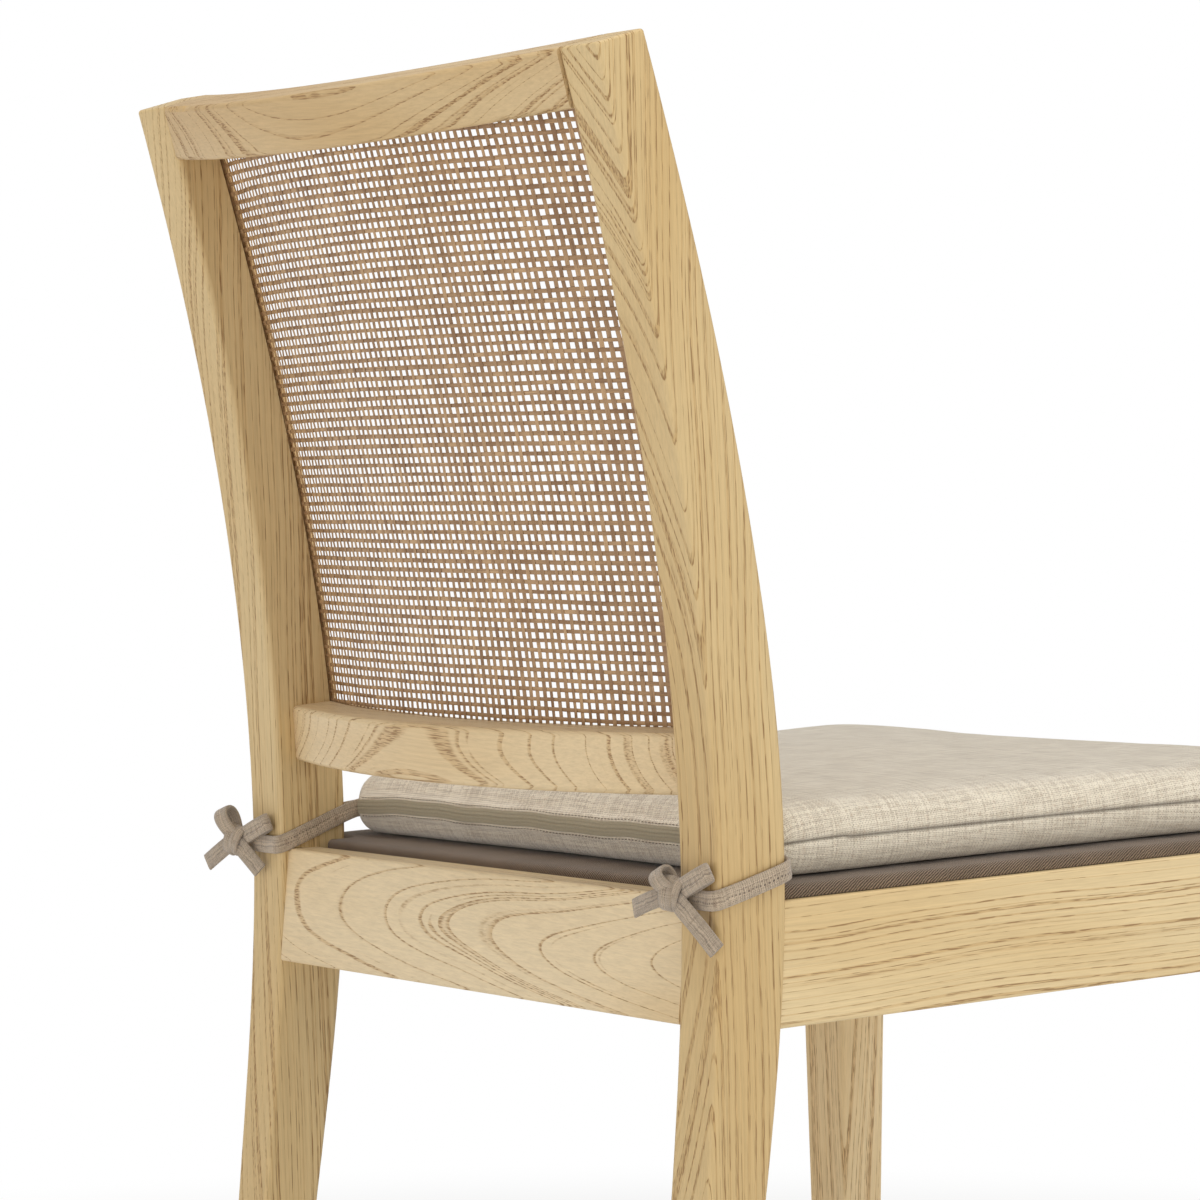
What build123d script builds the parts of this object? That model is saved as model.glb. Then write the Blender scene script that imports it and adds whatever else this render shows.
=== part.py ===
from build123d import *
import math
import os

os.makedirs("parts", exist_ok=True)

# A dining chair with a cane back, an upholstered seat and a loose cushion tied to the back posts.
# The front faces -Y, the floor is z = 0, and the origin is under the middle of the whole chair.

# Driving dimensions, in millimetres.
back_width = 440.0          # across the outer faces of the back posts
post_width = 32.0
front_width = 480.0         # across the outer faces of the front legs
datum_y = 197.3             # rear face of the posts at the height of the seat rails
chair_top = 874.8           # front edge of the post tops
top_rake = 17.0             # degrees that the crest leans back
top_depth = 33.0            # depth of a post at its top
rail_stock = 34.0           # thickness of the crest and the lower back rail
crest_height = 32.0
lower_rail_height = 33.0
lower_rail_bottom = 483.0
back_bow = 32.0             # how far the back's middle stands behind its ends
seat_rail_bottom = 361.0
seat_rail_height = 67.0
seat_rail_stock = 22.0
side_drop = 2.5             # the side rails start this much lower than the rear rail
seat_rise = 0.032           # the seat climbs this much for each mm forward
leg_top = 42.0
leg_foot = 30.0
glide_height = 3.0
glide_radius = 11.0
edge_round = 3.0
small_round = 2.0
UPWARD = (Align.CENTER, Align.CENTER, Align.MIN)
DOWNWARD = (Align.CENTER, Align.CENTER, Align.MAX)

# Worked out from the dimensions above.
post_outer = back_width / 2
post_inner = post_outer - post_width
leg_outer = front_width / 2
leg_inner = leg_outer - leg_top
post_front_y = datum_y - 48.0
seat_rail_outer = post_outer - 1.0
leg_front_y = datum_y - 497.0
foot_front_y = datum_y - 503.4
leg_rear_y = leg_front_y + leg_top
rail_run = post_front_y - leg_rear_y
side_splay = (leg_outer - 1.0 - seat_rail_outer) / rail_run
seat_rail_top = seat_rail_bottom + seat_rail_height
side_rail_bottom = seat_rail_bottom - side_drop
side_rail_top = side_rail_bottom + seat_rail_height


def rail_level(base, y):
    """Height of a line that starts at base by the back posts and climbs towards the front."""
    return base + seat_rise * (post_front_y - y)


def write(builder, label):
    """Labels a finished piece and writes it to its own file."""
    builder.part.label = label
    export_step(builder.part, "parts/" + label + ".step")


def mirrored(builder):
    """The same piece for the other side of the chair."""
    with BuildPart() as other:
        mirror(builder.part, about=Plane.YZ)
    return other


# Side view of a back post, as (y from the datum, z): the rear and the front sawn line.
rear_line = [(20, glide_height), (6, 254), (-2, 427), (3, 513), (14, 600), (40, 729)]
front_line = [(-10, glide_height), (-34, 254), (-49, 427), (-44, 513), (-30, 600), (1, 729)]
rake = math.radians(top_rake)
front_top = (46.5, chair_top)
rear_top = (front_top[0] + top_depth * math.cos(rake), chair_top - top_depth * math.sin(rake))
rear_points = [(datum_y + y, z) for y, z in rear_line + [rear_top]]
front_points = [(datum_y + y, z) for y, z in front_line + [front_top]]
front_curve = Spline(*[(0, y, z) for y, z in front_points])


def back_plane(height):
    """Plane square to the curved back at this height, its origin on the front line of the posts."""
    low = 0.0
    high = 1.0
    for _ in range(40):
        middle = (low + high) / 2
        if front_curve.position_at(middle).Z < height:
            low = middle
        else:
            high = middle
    spot = front_curve.position_at(low)
    return Plane(origin=(0, spot.Y, spot.Z), x_dir=(1, 0, 0), z_dir=front_curve.tangent_at(low))


crest_top_plane = Plane(
    origin=(0, datum_y + front_top[0], chair_top),
    x_dir=(1, 0, 0),
    z_dir=(0, math.sin(rake), math.cos(rake)),
)
crest_plane = crest_top_plane.offset(-crest_height)
lower_rail_plane = back_plane(lower_rail_bottom)
rear_rail_tilt = 5.0        # degrees that the rear seat rail leans forward

# Dowels: 8 mm beech pins, half in each member.
dowel_radius = 4.0
dowel_length = 36.0
dowel_slack = 0.05


def dowels_across(plane, depth, heights):
    """Dowel places at both ends of a back rail, along X, in the rail's own plane."""
    places = []
    for side in (-1, 1):
        for height in heights:
            spot = plane.from_local_coords((side * post_inner, depth, height))
            places.append(Plane(origin=spot, x_dir=(0, 0, 1), z_dir=(1, 0, 0)))
    return places


crest_dowel_places = dowels_across(crest_plane, rail_stock * 0.55, (9.0, 23.0))
lower_dowel_places = dowels_across(lower_rail_plane, rail_stock * 0.55, (9.0, 24.0))
rear_rail_middle = datum_y - 16.0
rear_dowel_places = dowels_across(
    Plane(origin=(0, rear_rail_middle, seat_rail_bottom)), 0, (16.0, 50.0)
)
front_rail_bottom = rail_level(side_rail_bottom, leg_front_y + 13) - 0.8
front_rail_middle = leg_front_y + 2.0 + seat_rail_stock / 2
front_dowel_places = [
    Plane(
        origin=(side * leg_inner, front_rail_middle, front_rail_bottom + height),
        x_dir=(0, 0, 1),
        z_dir=(1, 0, 0),
    )
    for side in (-1, 1)
    for height in (16.0, 51.0)
]
side_dowel_places = []
for side in (-1, 1):
    for y, x in ((post_front_y, seat_rail_outer), (leg_rear_y, leg_outer - 1.0)):
        for height in (16.0, 50.0):
            spot = (side * (x - seat_rail_stock / 2), y, rail_level(side_rail_bottom, y) + height)
            side_dowel_places.append(Plane(origin=spot, x_dir=(1, 0, 0), z_dir=(0, 1, 0)))


def drill(places):
    """Cuts the dowel holes at these places out of the piece being built."""
    with Locations(*places):
        Cylinder(dowel_radius + dowel_slack, dowel_length + 1, mode=Mode.SUBTRACT)


# The cane lies in a rebate that is cut in the front of the posts and both back rails.
rebate_width = 8.0
rebate_depth = 6.5
cane_front = 3.9            # the cane lies this far behind the front faces
cane_thickness = 1.4
cane_tuck = 6.0             # how far the cane goes into the rebate
bead_front = 0.6
bead_back = 3.3
rebate_low = lower_rail_bottom + lower_rail_height - rebate_width
rebate_high = crest_plane.origin.Z + rebate_width - 1.0

# Back posts, each sawn in one curved piece from the floor to the crest.
nail_radius = 1.5
nail_length = 18.0
foot_spots = {
    "rear": (post_outer - post_width / 2, datum_y + 5.0),
    "front": (leg_outer - leg_foot / 2, foot_front_y + leg_foot / 2),
}


def nail_hole(spot):
    """Hole for the nail of a glide, up into a foot."""
    with Locations((spot[0], spot[1], glide_height)):
        Cylinder(nail_radius + dowel_slack, nail_length, align=UPWARD, mode=Mode.SUBTRACT)


with BuildPart() as back_post_right:
    with BuildSketch(Plane.YZ.offset(post_inner)):
        with BuildLine():
            rear_edge = Spline(*rear_points)
            front_edge = Spline(*front_points)
            Line(rear_edge @ 0, front_edge @ 0)
            Line(rear_edge @ 1, front_edge @ 1)
        make_face()
    extrude(amount=post_width)
    fillet(back_post_right.edges().filter_by(lambda edge: edge.length > 500), edge_round)
    fillet(back_post_right.faces().sort_by(Axis.Z)[-1].edges(), small_round)
    with BuildSketch(Plane.YZ.offset(post_inner)):
        with BuildLine():
            floor_edge = Spline(*[(y + rebate_depth, z) for y, z in front_points])
            Polyline(
                floor_edge @ 1,
                (datum_y - 90, chair_top),
                (datum_y - 90, glide_height),
                floor_edge @ 0,
            )
        make_face()
        with Locations((datum_y, (rebate_low + rebate_high) / 2)):
            Rectangle(400, rebate_high - rebate_low, mode=Mode.INTERSECT)
    extrude(amount=rebate_width, mode=Mode.SUBTRACT)
    drill(crest_dowel_places + lower_dowel_places + rear_dowel_places + side_dowel_places)
    nail_hole(foot_spots["rear"])
back_post_left = mirrored(back_post_right)

# Front legs, square where the rails join them, and tapered on the two inner faces below that.
leg_level = rail_level(side_rail_top, leg_front_y + leg_top / 2) - 0.8
taper_start = rail_level(side_rail_bottom, leg_rear_y) - 2.0
front_slope = (leg_front_y - foot_front_y) / (leg_level - glide_height)
taper_front_y = foot_front_y + front_slope * (taper_start - glide_height)


def leg_section(height, front_y, width):
    """Square section of a front leg with rounded corners, flush with its outer and front faces."""
    with BuildSketch(Plane.XY.offset(height)) as section:
        with Locations((leg_outer - width / 2, front_y + width / 2)):
            RectangleRounded(width, width, edge_round)
    return section


with BuildPart() as front_leg_right:
    foot = leg_section(glide_height, foot_front_y, leg_foot)
    knee = leg_section(taper_start, taper_front_y, leg_top)
    head = leg_section(leg_level, leg_front_y, leg_top)
    loft([foot.sketch, knee.sketch])
    loft([knee.sketch, head.sketch])
    drill(front_dowel_places + side_dowel_places)
    nail_hole(foot_spots["front"])
front_leg_left = mirrored(front_leg_right)


def bowed_band(plane, front, back, half):
    """Sketch of a curved bar seen from above: two arcs that bow to the rear and two square ends."""
    with BuildSketch(plane) as band:
        with BuildLine():
            inner = ThreePointArc((-half, front), (0, front + back_bow), (half, front))
            outer = ThreePointArc((-half, back), (0, back + back_bow), (half, back))
            Line(inner @ 0, outer @ 0)
            Line(inner @ 1, outer @ 1)
        make_face()
    return band


# Crest and lower back rail, bent to the same curve and held between the posts on dowels.
with BuildPart() as crest_rail:
    extrude(bowed_band(crest_plane, 0, rail_stock, post_inner).sketch, amount=crest_height)
    fillet(crest_rail.edges().filter_by(lambda edge: edge.length > 300), edge_round)
    rebate = bowed_band(crest_plane, -8, rebate_depth, post_inner)
    extrude(rebate.sketch, amount=rebate_width, mode=Mode.SUBTRACT)
    drill(crest_dowel_places)

with BuildPart() as lower_back_rail:
    bar = bowed_band(lower_rail_plane, 0, rail_stock, post_inner)
    extrude(bar.sketch, amount=lower_rail_height)
    fillet(lower_back_rail.edges().filter_by(lambda edge: edge.length > 300), edge_round)
    rebate = bowed_band(lower_rail_plane.offset(lower_rail_height), -8, rebate_depth, post_inner)
    extrude(rebate.sketch, amount=-rebate_width, mode=Mode.SUBTRACT)
    drill(lower_dowel_places)

# Cane panel, one sheet that is bowed like the rails, its edges flat in the rebate.
cane_half = post_inner + cane_tuck
cane_back = cane_front + cane_thickness
cane_planes = [lower_rail_plane.offset(lower_rail_height - cane_tuck)]
cane_planes += [back_plane(height) for height in (600.0, 685.0, 770.0)]
cane_planes += [crest_plane.offset(cane_tuck)]

with BuildPart() as cane_panel:
    for plane in cane_planes:
        with BuildSketch(plane):
            with BuildLine():
                front_arc = ThreePointArc(
                    (-post_inner, cane_front), (0, cane_front + back_bow), (post_inner, cane_front)
                )
                back_arc = ThreePointArc(
                    (-post_inner, cane_back), (0, cane_back + back_bow), (post_inner, cane_back)
                )
                Polyline(
                    front_arc @ 0, (-cane_half, cane_front), (-cane_half, cane_back), back_arc @ 0
                )
                Polyline(
                    front_arc @ 1, (cane_half, cane_front), (cane_half, cane_back), back_arc @ 1
                )
            make_face()
    loft()

# Wooden beads that hold the cane in its rebate: top, bottom and both sides.
bead_gap = 0.4
bead_width = rebate_width - 2 * bead_gap

with BuildPart() as cane_bead_top:
    bead = bowed_band(crest_plane.offset(bead_gap), bead_front, bead_back, post_inner - bead_gap)
    extrude(bead.sketch, amount=bead_width)

with BuildPart() as cane_bead_bottom:
    bead_plane = lower_rail_plane.offset(lower_rail_height - bead_gap)
    bead = bowed_band(bead_plane, bead_front, bead_back, post_inner - bead_gap)
    extrude(bead.sketch, amount=-bead_width)

with BuildPart() as cane_bead_right:
    with BuildSketch(Plane.YZ.offset(post_inner + bead_gap)):
        with BuildLine():
            bead_outer = Spline(*[(y + bead_front, z) for y, z in front_points])
            bead_inner = Spline(*[(y + bead_back, z) for y, z in front_points])
            Line(bead_outer @ 0, bead_inner @ 0)
            Line(bead_outer @ 1, bead_inner @ 1)
        make_face()
        with Locations((datum_y, (rebate_low + rebate_high) / 2)):
            Rectangle(400, rebate_high - rebate_low - 1, mode=Mode.INTERSECT)
    extrude(amount=bead_width)
cane_bead_left = mirrored(cane_bead_right)

# Rear seat rail, level and leaning forward; it ends on the inner faces of the posts.
rear_rail_foot = datum_y - 1.6  # rear edge of its underside, just in front of the posts' rear faces
rear_rail_lean = math.tan(math.radians(rear_rail_tilt)) * seat_rail_height

with BuildPart() as rear_seat_rail:
    with BuildSketch(Plane.YZ.offset(-post_inner)):
        Polygon(
            (rear_rail_foot, seat_rail_bottom),
            (rear_rail_foot - rear_rail_lean, seat_rail_top),
            (rear_rail_foot - rear_rail_lean - seat_rail_stock, seat_rail_top),
            (rear_rail_foot - seat_rail_stock, seat_rail_bottom),
            align=None,
        )
    extrude(amount=2 * post_inner)
    fillet(rear_seat_rail.edges().filter_by(Axis.X), small_round)
    drill(rear_dowel_places)

# Front seat rail, between the front legs.
with BuildPart() as front_seat_rail:
    with BuildSketch(Plane.YZ.offset(-leg_inner)):
        with Locations((front_rail_middle, front_rail_bottom + seat_rail_height / 2)):
            Rectangle(seat_rail_stock, seat_rail_height)
    extrude(amount=2 * leg_inner)
    fillet(front_seat_rail.edges().filter_by(Axis.X), small_round)
    drill(front_dowel_places)

# Side seat rails, which spread and climb towards the front; their ends follow the post and the leg.
side_plane = Plane(
    origin=(seat_rail_outer, post_front_y, 0),
    x_dir=(side_splay, -1, 0),
    z_dir=(-1, -side_splay, 0),
)

with BuildPart() as side_seat_rail_right:
    with BuildSketch(side_plane):
        Polygon(
            (-20, rail_level(side_rail_bottom, post_front_y + 20)),
            (rail_run + 15, rail_level(side_rail_bottom, leg_rear_y - 15)),
            (rail_run + 15, rail_level(side_rail_top, leg_rear_y - 15)),
            (-20, rail_level(side_rail_top, post_front_y + 20)),
            align=None,
        )
    extrude(amount=seat_rail_stock)
    fillet(side_seat_rail_right.edges().filter_by(lambda edge: edge.length > 300), small_round)
    add(back_post_right.part, mode=Mode.SUBTRACT)
    add(front_leg_right.part, mode=Mode.SUBTRACT)
    drill(side_dowel_places)
side_seat_rail_left = mirrored(side_seat_rail_right)


def dowel_set(places):
    """Beech dowels at these places, as separate pins with chamfered ends."""
    with BuildPart() as pins:
        with Locations(*places):
            Cylinder(dowel_radius, dowel_length)
        chamfer(pins.edges().filter_by(GeomType.CIRCLE), 1.0)
    return pins


crest_dowels = dowel_set(crest_dowel_places)
lower_rail_dowels = dowel_set(lower_dowel_places)
rear_rail_dowels = dowel_set(rear_dowel_places)
front_rail_dowels = dowel_set(front_dowel_places)
side_rail_dowels = dowel_set(side_dowel_places)

# Seat plane: the tops of the side rails, climbing towards the front.
seat_plane = Plane(
    origin=(0, post_front_y, side_rail_top + 0.2), x_dir=(1, 0, 0), z_dir=(0, seat_rise, 1)
)
pad_margin = 5.0            # the upholstered seat stops this far inside the rails' outer faces
pad_rear = 17.0             # its rear edge, behind the front faces of the posts
pad_rear_half = post_inner - 5.0
pad_notch = -3.5            # it passes this far in front of the posts
pad_front = leg_front_y + 5.0 - post_front_y
pad_side_rear = seat_rail_outer - pad_margin
pad_side_front = leg_outer - pad_margin
board_thickness = 4.0
pad_foam_thickness = 3.0
pad_cover_thickness = 1.0
pad_height = board_thickness + pad_foam_thickness + pad_cover_thickness


def seat_outline(plane, inset):
    """Plan of the upholstered seat, notched round the back posts, drawn in by inset."""
    with BuildSketch(plane) as outline:
        Polygon(
            (pad_rear_half, pad_rear),
            (pad_rear_half, pad_notch),
            (pad_side_rear, pad_notch),
            (pad_side_front, pad_front),
            (-pad_side_front, pad_front),
            (-pad_side_rear, pad_notch),
            (-pad_rear_half, pad_notch),
            (-pad_rear_half, pad_rear),
            align=None,
        )
        fillet(outline.vertices().group_by(Axis.Y)[0], 10.0)
        if inset:
            offset(amount=-inset, kind=Kind.INTERSECTION, mode=Mode.REPLACE)
    return outline


# Corner blocks, one in each corner under the seat, screwed to both rails and up into the seat.
block_low = seat_rail_bottom + 24.0
block_height = 26.0
screw_radius = 2.0
screw_head_radius = 4.2
screw_head_height = 2.6
block_reach = 70.0


def screw_at(plane, length):
    """A plain wood screw whose head sits at the plane, its shank along the plane's normal."""
    with Locations(plane):
        Cylinder(screw_radius, length, align=UPWARD)
    with Locations(plane):
        Cylinder(screw_head_radius, screw_head_height, align=DOWNWARD)


def screw_room(plane, length):
    """Cuts a clearance hole and a wide pocket for the head and the driver."""
    with Locations(plane):
        Cylinder(screw_radius + dowel_slack, length + 0.5, align=UPWARD, mode=Mode.SUBTRACT)
        Cylinder(screw_head_radius + 0.4, 60, align=DOWNWARD, mode=Mode.SUBTRACT)


block_middle = block_low + block_height / 2
rear_block_screws = [
    (Plane(origin=(150, datum_y - 46, block_middle), x_dir=(1, 0, 0), z_dir=(0, 1, 0)), 36.0),
    (Plane(origin=(178, datum_y - 82, block_middle), x_dir=(0, 1, 0), z_dir=(1, 0, 0)), 34.0),
]
front_block_screws = [
    (Plane(origin=(158, leg_front_y + 46, block_middle), x_dir=(1, 0, 0), z_dir=(0, -1, 0)), 34.0),
    (Plane(origin=(192, leg_front_y + 86, block_middle), x_dir=(0, 1, 0), z_dir=(1, 0, 0)), 34.0),
]
seat_screw_length = 42.0
seat_screw_spots = {"rear": (170.0, datum_y - 55.0), "front": (180.0, leg_front_y + 60.0)}


def seat_screw_plane(x, y):
    """Where a seat screw's head bears on the underside of its block."""
    return Plane(origin=(x, y, rail_level(side_rail_top, y) + 2.6 - seat_screw_length))


seat_screw_planes = [
    seat_screw_plane(side * x, y) for x, y in seat_screw_spots.values() for side in (-1, 1)
]


def corner_block(outline, neighbours, screws, seat_spot):
    """A three-sided block, scribed to its neighbours and drilled for its screws."""
    with BuildPart() as block:
        with BuildSketch(Plane.XY.offset(block_low)):
            Polygon(*outline, align=None)
        extrude(amount=block_height)
        for neighbour in neighbours:
            add(neighbour.part, mode=Mode.SUBTRACT)
        for plane, length in screws:
            screw_room(plane, length)
        screw_room(seat_screw_plane(*seat_spot), seat_screw_length)
        add(block.solids().sort_by(SortBy.VOLUME)[-1], mode=Mode.REPLACE)
    return block


# Each outline starts on the rear or front rail, goes round the post or leg, and ends on the side rail.
scribe = 4.0                # how far an outline is drawn into its neighbours before it is scribed
rear_outline = [
    (post_inner - block_reach - 8, datum_y - 14),
    (post_inner + scribe, datum_y - 14),
    (post_inner + scribe, post_front_y + scribe),
    (seat_rail_outer - 2 * scribe, post_front_y + scribe),
    (seat_rail_outer - 2 * scribe, post_front_y - block_reach),
]
front_outline = [
    (leg_inner - block_reach - 18, leg_front_y + 14),
    (leg_inner + scribe, leg_front_y + 14),
    (leg_inner + scribe, leg_rear_y - scribe),
    (leg_outer - 14, leg_rear_y - scribe),
    (leg_outer - 14, leg_rear_y + block_reach),
]
corner_block_rear_right = corner_block(
    rear_outline,
    (rear_seat_rail, back_post_right, side_seat_rail_right),
    rear_block_screws,
    seat_screw_spots["rear"],
)
corner_block_front_right = corner_block(
    front_outline,
    (front_seat_rail, front_leg_right, side_seat_rail_right),
    front_block_screws,
    seat_screw_spots["front"],
)
corner_block_rear_left = mirrored(corner_block_rear_right)
corner_block_front_left = mirrored(corner_block_front_right)


def pilot_holes(rail, screws, both_ends):
    """The same rail with the pilot holes of the block screws."""
    with BuildPart() as drilled:
        add(rail.part)
        for plane, length in screws:
            with Locations(plane):
                Cylinder(screw_radius + dowel_slack, length + 0.5, align=UPWARD, mode=Mode.SUBTRACT)
        if both_ends:
            split(bisect_by=Plane.YZ, keep=Keep.TOP)
            mirror(about=Plane.YZ)
    return drilled


rear_seat_rail = pilot_holes(rear_seat_rail, rear_block_screws[:1], True)
front_seat_rail = pilot_holes(front_seat_rail, front_block_screws[:1], True)
side_screws = [rear_block_screws[1], front_block_screws[1]]
side_seat_rail_right = pilot_holes(side_seat_rail_right, side_screws, False)
side_seat_rail_left = mirrored(side_seat_rail_right)

with BuildPart() as corner_block_screws:
    for plane, length in rear_block_screws + front_block_screws:
        screw_at(plane, length)
    mirror(about=Plane.YZ)

with BuildPart() as seat_screws:
    for plane in seat_screw_planes:
        screw_at(plane, seat_screw_length)

# Upholstered seat: a thin board, a thin foam sheet, the cloth over both and a dust cloth below.
skin_gap = 0.2

with BuildPart() as seat_board:
    board_outline = seat_outline(seat_plane, pad_cover_thickness + skin_gap)
    extrude(board_outline.sketch, amount=board_thickness)
    with Locations(*seat_screw_planes):
        Cylinder(screw_radius + dowel_slack, seat_screw_length + 0.5, align=UPWARD, mode=Mode.SUBTRACT)

with BuildPart() as seat_foam:
    foam_outline = seat_outline(seat_plane.offset(board_thickness), pad_cover_thickness + skin_gap)
    extrude(foam_outline.sketch, amount=pad_foam_thickness - skin_gap)

with BuildPart() as seat_cover:
    extrude(seat_outline(seat_plane, 0).sketch, amount=pad_height)
    fillet(seat_cover.faces().sort_by(Axis.Z)[-1].edges(), 0.8)
    lining = seat_outline(seat_plane, pad_cover_thickness)
    extrude(lining.sketch, amount=pad_height - pad_cover_thickness, mode=Mode.SUBTRACT)

dust_thickness = 0.8
dust_half_rear = seat_rail_outer - seat_rail_stock - 3.0
dust_half_post = post_inner - 8.0
dust_half_leg = leg_inner - 9.0
dust_rear = 12.0
dust_leg = leg_rear_y + 3.0 - post_front_y
dust_front = front_rail_middle + seat_rail_stock / 2 + 3.0 - post_front_y

with BuildPart() as dust_cloth:
    with BuildSketch(seat_plane):
        Polygon(
            (dust_half_post, dust_rear),
            (dust_half_post, pad_notch),
            (dust_half_rear, pad_notch),
            (dust_half_leg, dust_leg),
            (dust_half_leg, dust_front),
            (-dust_half_leg, dust_front),
            (-dust_half_leg, dust_leg),
            (-dust_half_rear, pad_notch),
            (-dust_half_post, pad_notch),
            (-dust_half_post, dust_rear),
            align=None,
        )
    extrude(amount=-dust_thickness)
    with Locations(*seat_screw_planes):
        Cylinder(screw_radius + 1, seat_screw_length + 2, align=UPWARD, mode=Mode.SUBTRACT)

# Loose seat cushion: a foam core in a sewn cover with a zip across the back.
cushion_bottom = pad_height + 0.3
cushion_thickness = 38.0
cushion_rear = -8.0
cushion_front = leg_front_y + 17.0 - post_front_y
cushion_half_rear = 200.0
cushion_half_front = 222.0
cushion_corner = 14.0        # radius of its corners in plan
cushion_round = 12.0         # radius of its top and bottom edges
cover_thickness = 1.0


def cushion_form(inset):
    """The cushion's plain closed form, drawn in by inset on every side."""
    with BuildPart() as form:
        with BuildSketch(seat_plane.offset(cushion_bottom + inset)) as outline:
            Polygon(
                (-cushion_half_rear, cushion_rear),
                (cushion_half_rear, cushion_rear),
                (cushion_half_front, cushion_front),
                (-cushion_half_front, cushion_front),
                align=None,
            )
            fillet(outline.vertices(), cushion_corner)
            if inset:
                offset(amount=-inset, mode=Mode.REPLACE)
        extrude(amount=cushion_thickness - 2 * inset)
        fillet(form.faces().sort_by(Axis.Z)[-1].edges(), cushion_round - inset)
        fillet(form.faces().sort_by(Axis.Z)[0].edges(), cushion_round - inset)
    return form


cushion_foam = cushion_form(cover_thickness + skin_gap)

with BuildPart() as cushion_cover:
    add(cushion_form(0).part)
    add(cushion_form(cover_thickness).part, mode=Mode.SUBTRACT)

# Zip: a cloth tape sewn across the cushion's rear face, and a slider with its pull.
zip_half = 184.0
zip_height = 8.5
zip_level = cushion_bottom + cushion_thickness / 2
zip_thickness = 0.8
zip_standoff = 0.1
slider_start = -176.0
slider_width = 7.0
slider_depth = 2.0
slider_height = 6.0
slider_gap = 0.3
pull_width = 4.0
pull_thickness = 0.9
pull_length = 14.0

with BuildPart() as zip_tape:
    with BuildSketch(seat_plane.offset(zip_level - zip_height / 2)):
        with Locations((0, cushion_rear + zip_standoff + zip_thickness / 2)):
            Rectangle(2 * zip_half, zip_thickness)
    extrude(amount=zip_height)

slider_rear = cushion_rear + zip_standoff + zip_thickness + slider_gap

with BuildPart() as zip_slider:
    with BuildSketch(seat_plane.offset(zip_level - slider_height / 2)) as slider_plan:
        with Locations((slider_start, slider_rear + slider_depth / 2)):
            Rectangle(slider_width, slider_depth)
        fillet(slider_plan.vertices().group_by(Axis.Y)[-1], 0.8)
    extrude(amount=slider_height)

with BuildPart() as zip_pull:
    with BuildSketch(seat_plane.offset(zip_level + 1.0 - pull_length)):
        with Locations((slider_start, slider_rear + slider_depth + 0.5)):
            Rectangle(pull_width, pull_thickness)
    extrude(amount=pull_length)
    fillet(zip_pull.edges().filter_by(lambda edge: edge.length < 1.0), 1.2)

# Ties: a flat tape from each rear corner of the cushion round the post, knotted in a bow behind.
tie_height = 11.0
tie_thickness = 1.6
tie_gap = 0.5
tie_slope = 20.0            # degrees that the tape falls towards the rear
tie_rear_level = seat_rail_top + 3.5
tie_rear_y = datum_y + tie_gap
tie_reach = 53.0            # from the tape's rear face forward to its open ends
bow_width = 34.0
bow_depth = 10.0
bow_height = 42.0


def tie_band(post_middle):
    """The tape round one post: a U that opens towards the cushion."""
    angle = math.radians(tie_slope)
    plane = Plane(
        origin=(post_middle, tie_rear_y, tie_rear_level),
        x_dir=(1, 0, 0),
        z_dir=(0, math.sin(angle), math.cos(angle)),
    )
    reach = tie_reach / math.cos(angle)
    half = post_width / 2 + tie_gap
    with BuildPart() as band:
        with BuildSketch(plane.offset(-tie_height / 2)):
            with Locations((0, (tie_thickness - reach) / 2)):
                Rectangle(2 * (half + tie_thickness), reach + tie_thickness)
            with Locations((0, -reach / 2 - 5)):
                Rectangle(2 * half, reach + 10, mode=Mode.SUBTRACT)
        extrude(amount=tie_height)
    return band


def tie_bow(knot_x):
    """The plain outer form of one bow, behind the post."""
    with BuildPart() as bow:
        with BuildSketch(Plane.XY.offset(tie_rear_level + 20 - bow_height)):
            with Locations((knot_x, datum_y + bow_depth)):
                Rectangle(bow_width, bow_depth)
        extrude(amount=bow_height)
        fillet(bow.edges(), 3.0)
    return bow


tie_band_right = tie_band(post_outer - post_width / 2)
tie_band_left = tie_band(-post_outer + post_width / 2)
tie_bow_right = tie_bow(post_outer - 2.0)
tie_bow_left = tie_bow(-post_inner - 2.0)

# Felt glides under the four feet, each held by a nail whose head is sunk in a recess.
nail_head_radius = 2.9
nail_head_height = 0.8
nail_recess_depth = 1.2
nail_recess_radius = 3.0

with BuildPart() as glides:
    for x, y in foot_spots.values():
        with Locations((x, y, 0), (-x, y, 0)):
            Cylinder(glide_radius, glide_height, align=UPWARD)
            Cylinder(nail_recess_radius, nail_recess_depth, align=UPWARD, mode=Mode.SUBTRACT)
            Cylinder(nail_radius + dowel_slack, glide_height, align=UPWARD, mode=Mode.SUBTRACT)

with BuildPart() as glide_nails:
    for x, y in foot_spots.values():
        head_level = nail_recess_depth - nail_head_height
        with Locations((x, y, head_level), (-x, y, head_level)):
            Cylinder(nail_head_radius, nail_head_height, align=UPWARD)
            Cylinder(nail_radius, nail_length + 1, align=UPWARD)

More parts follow.
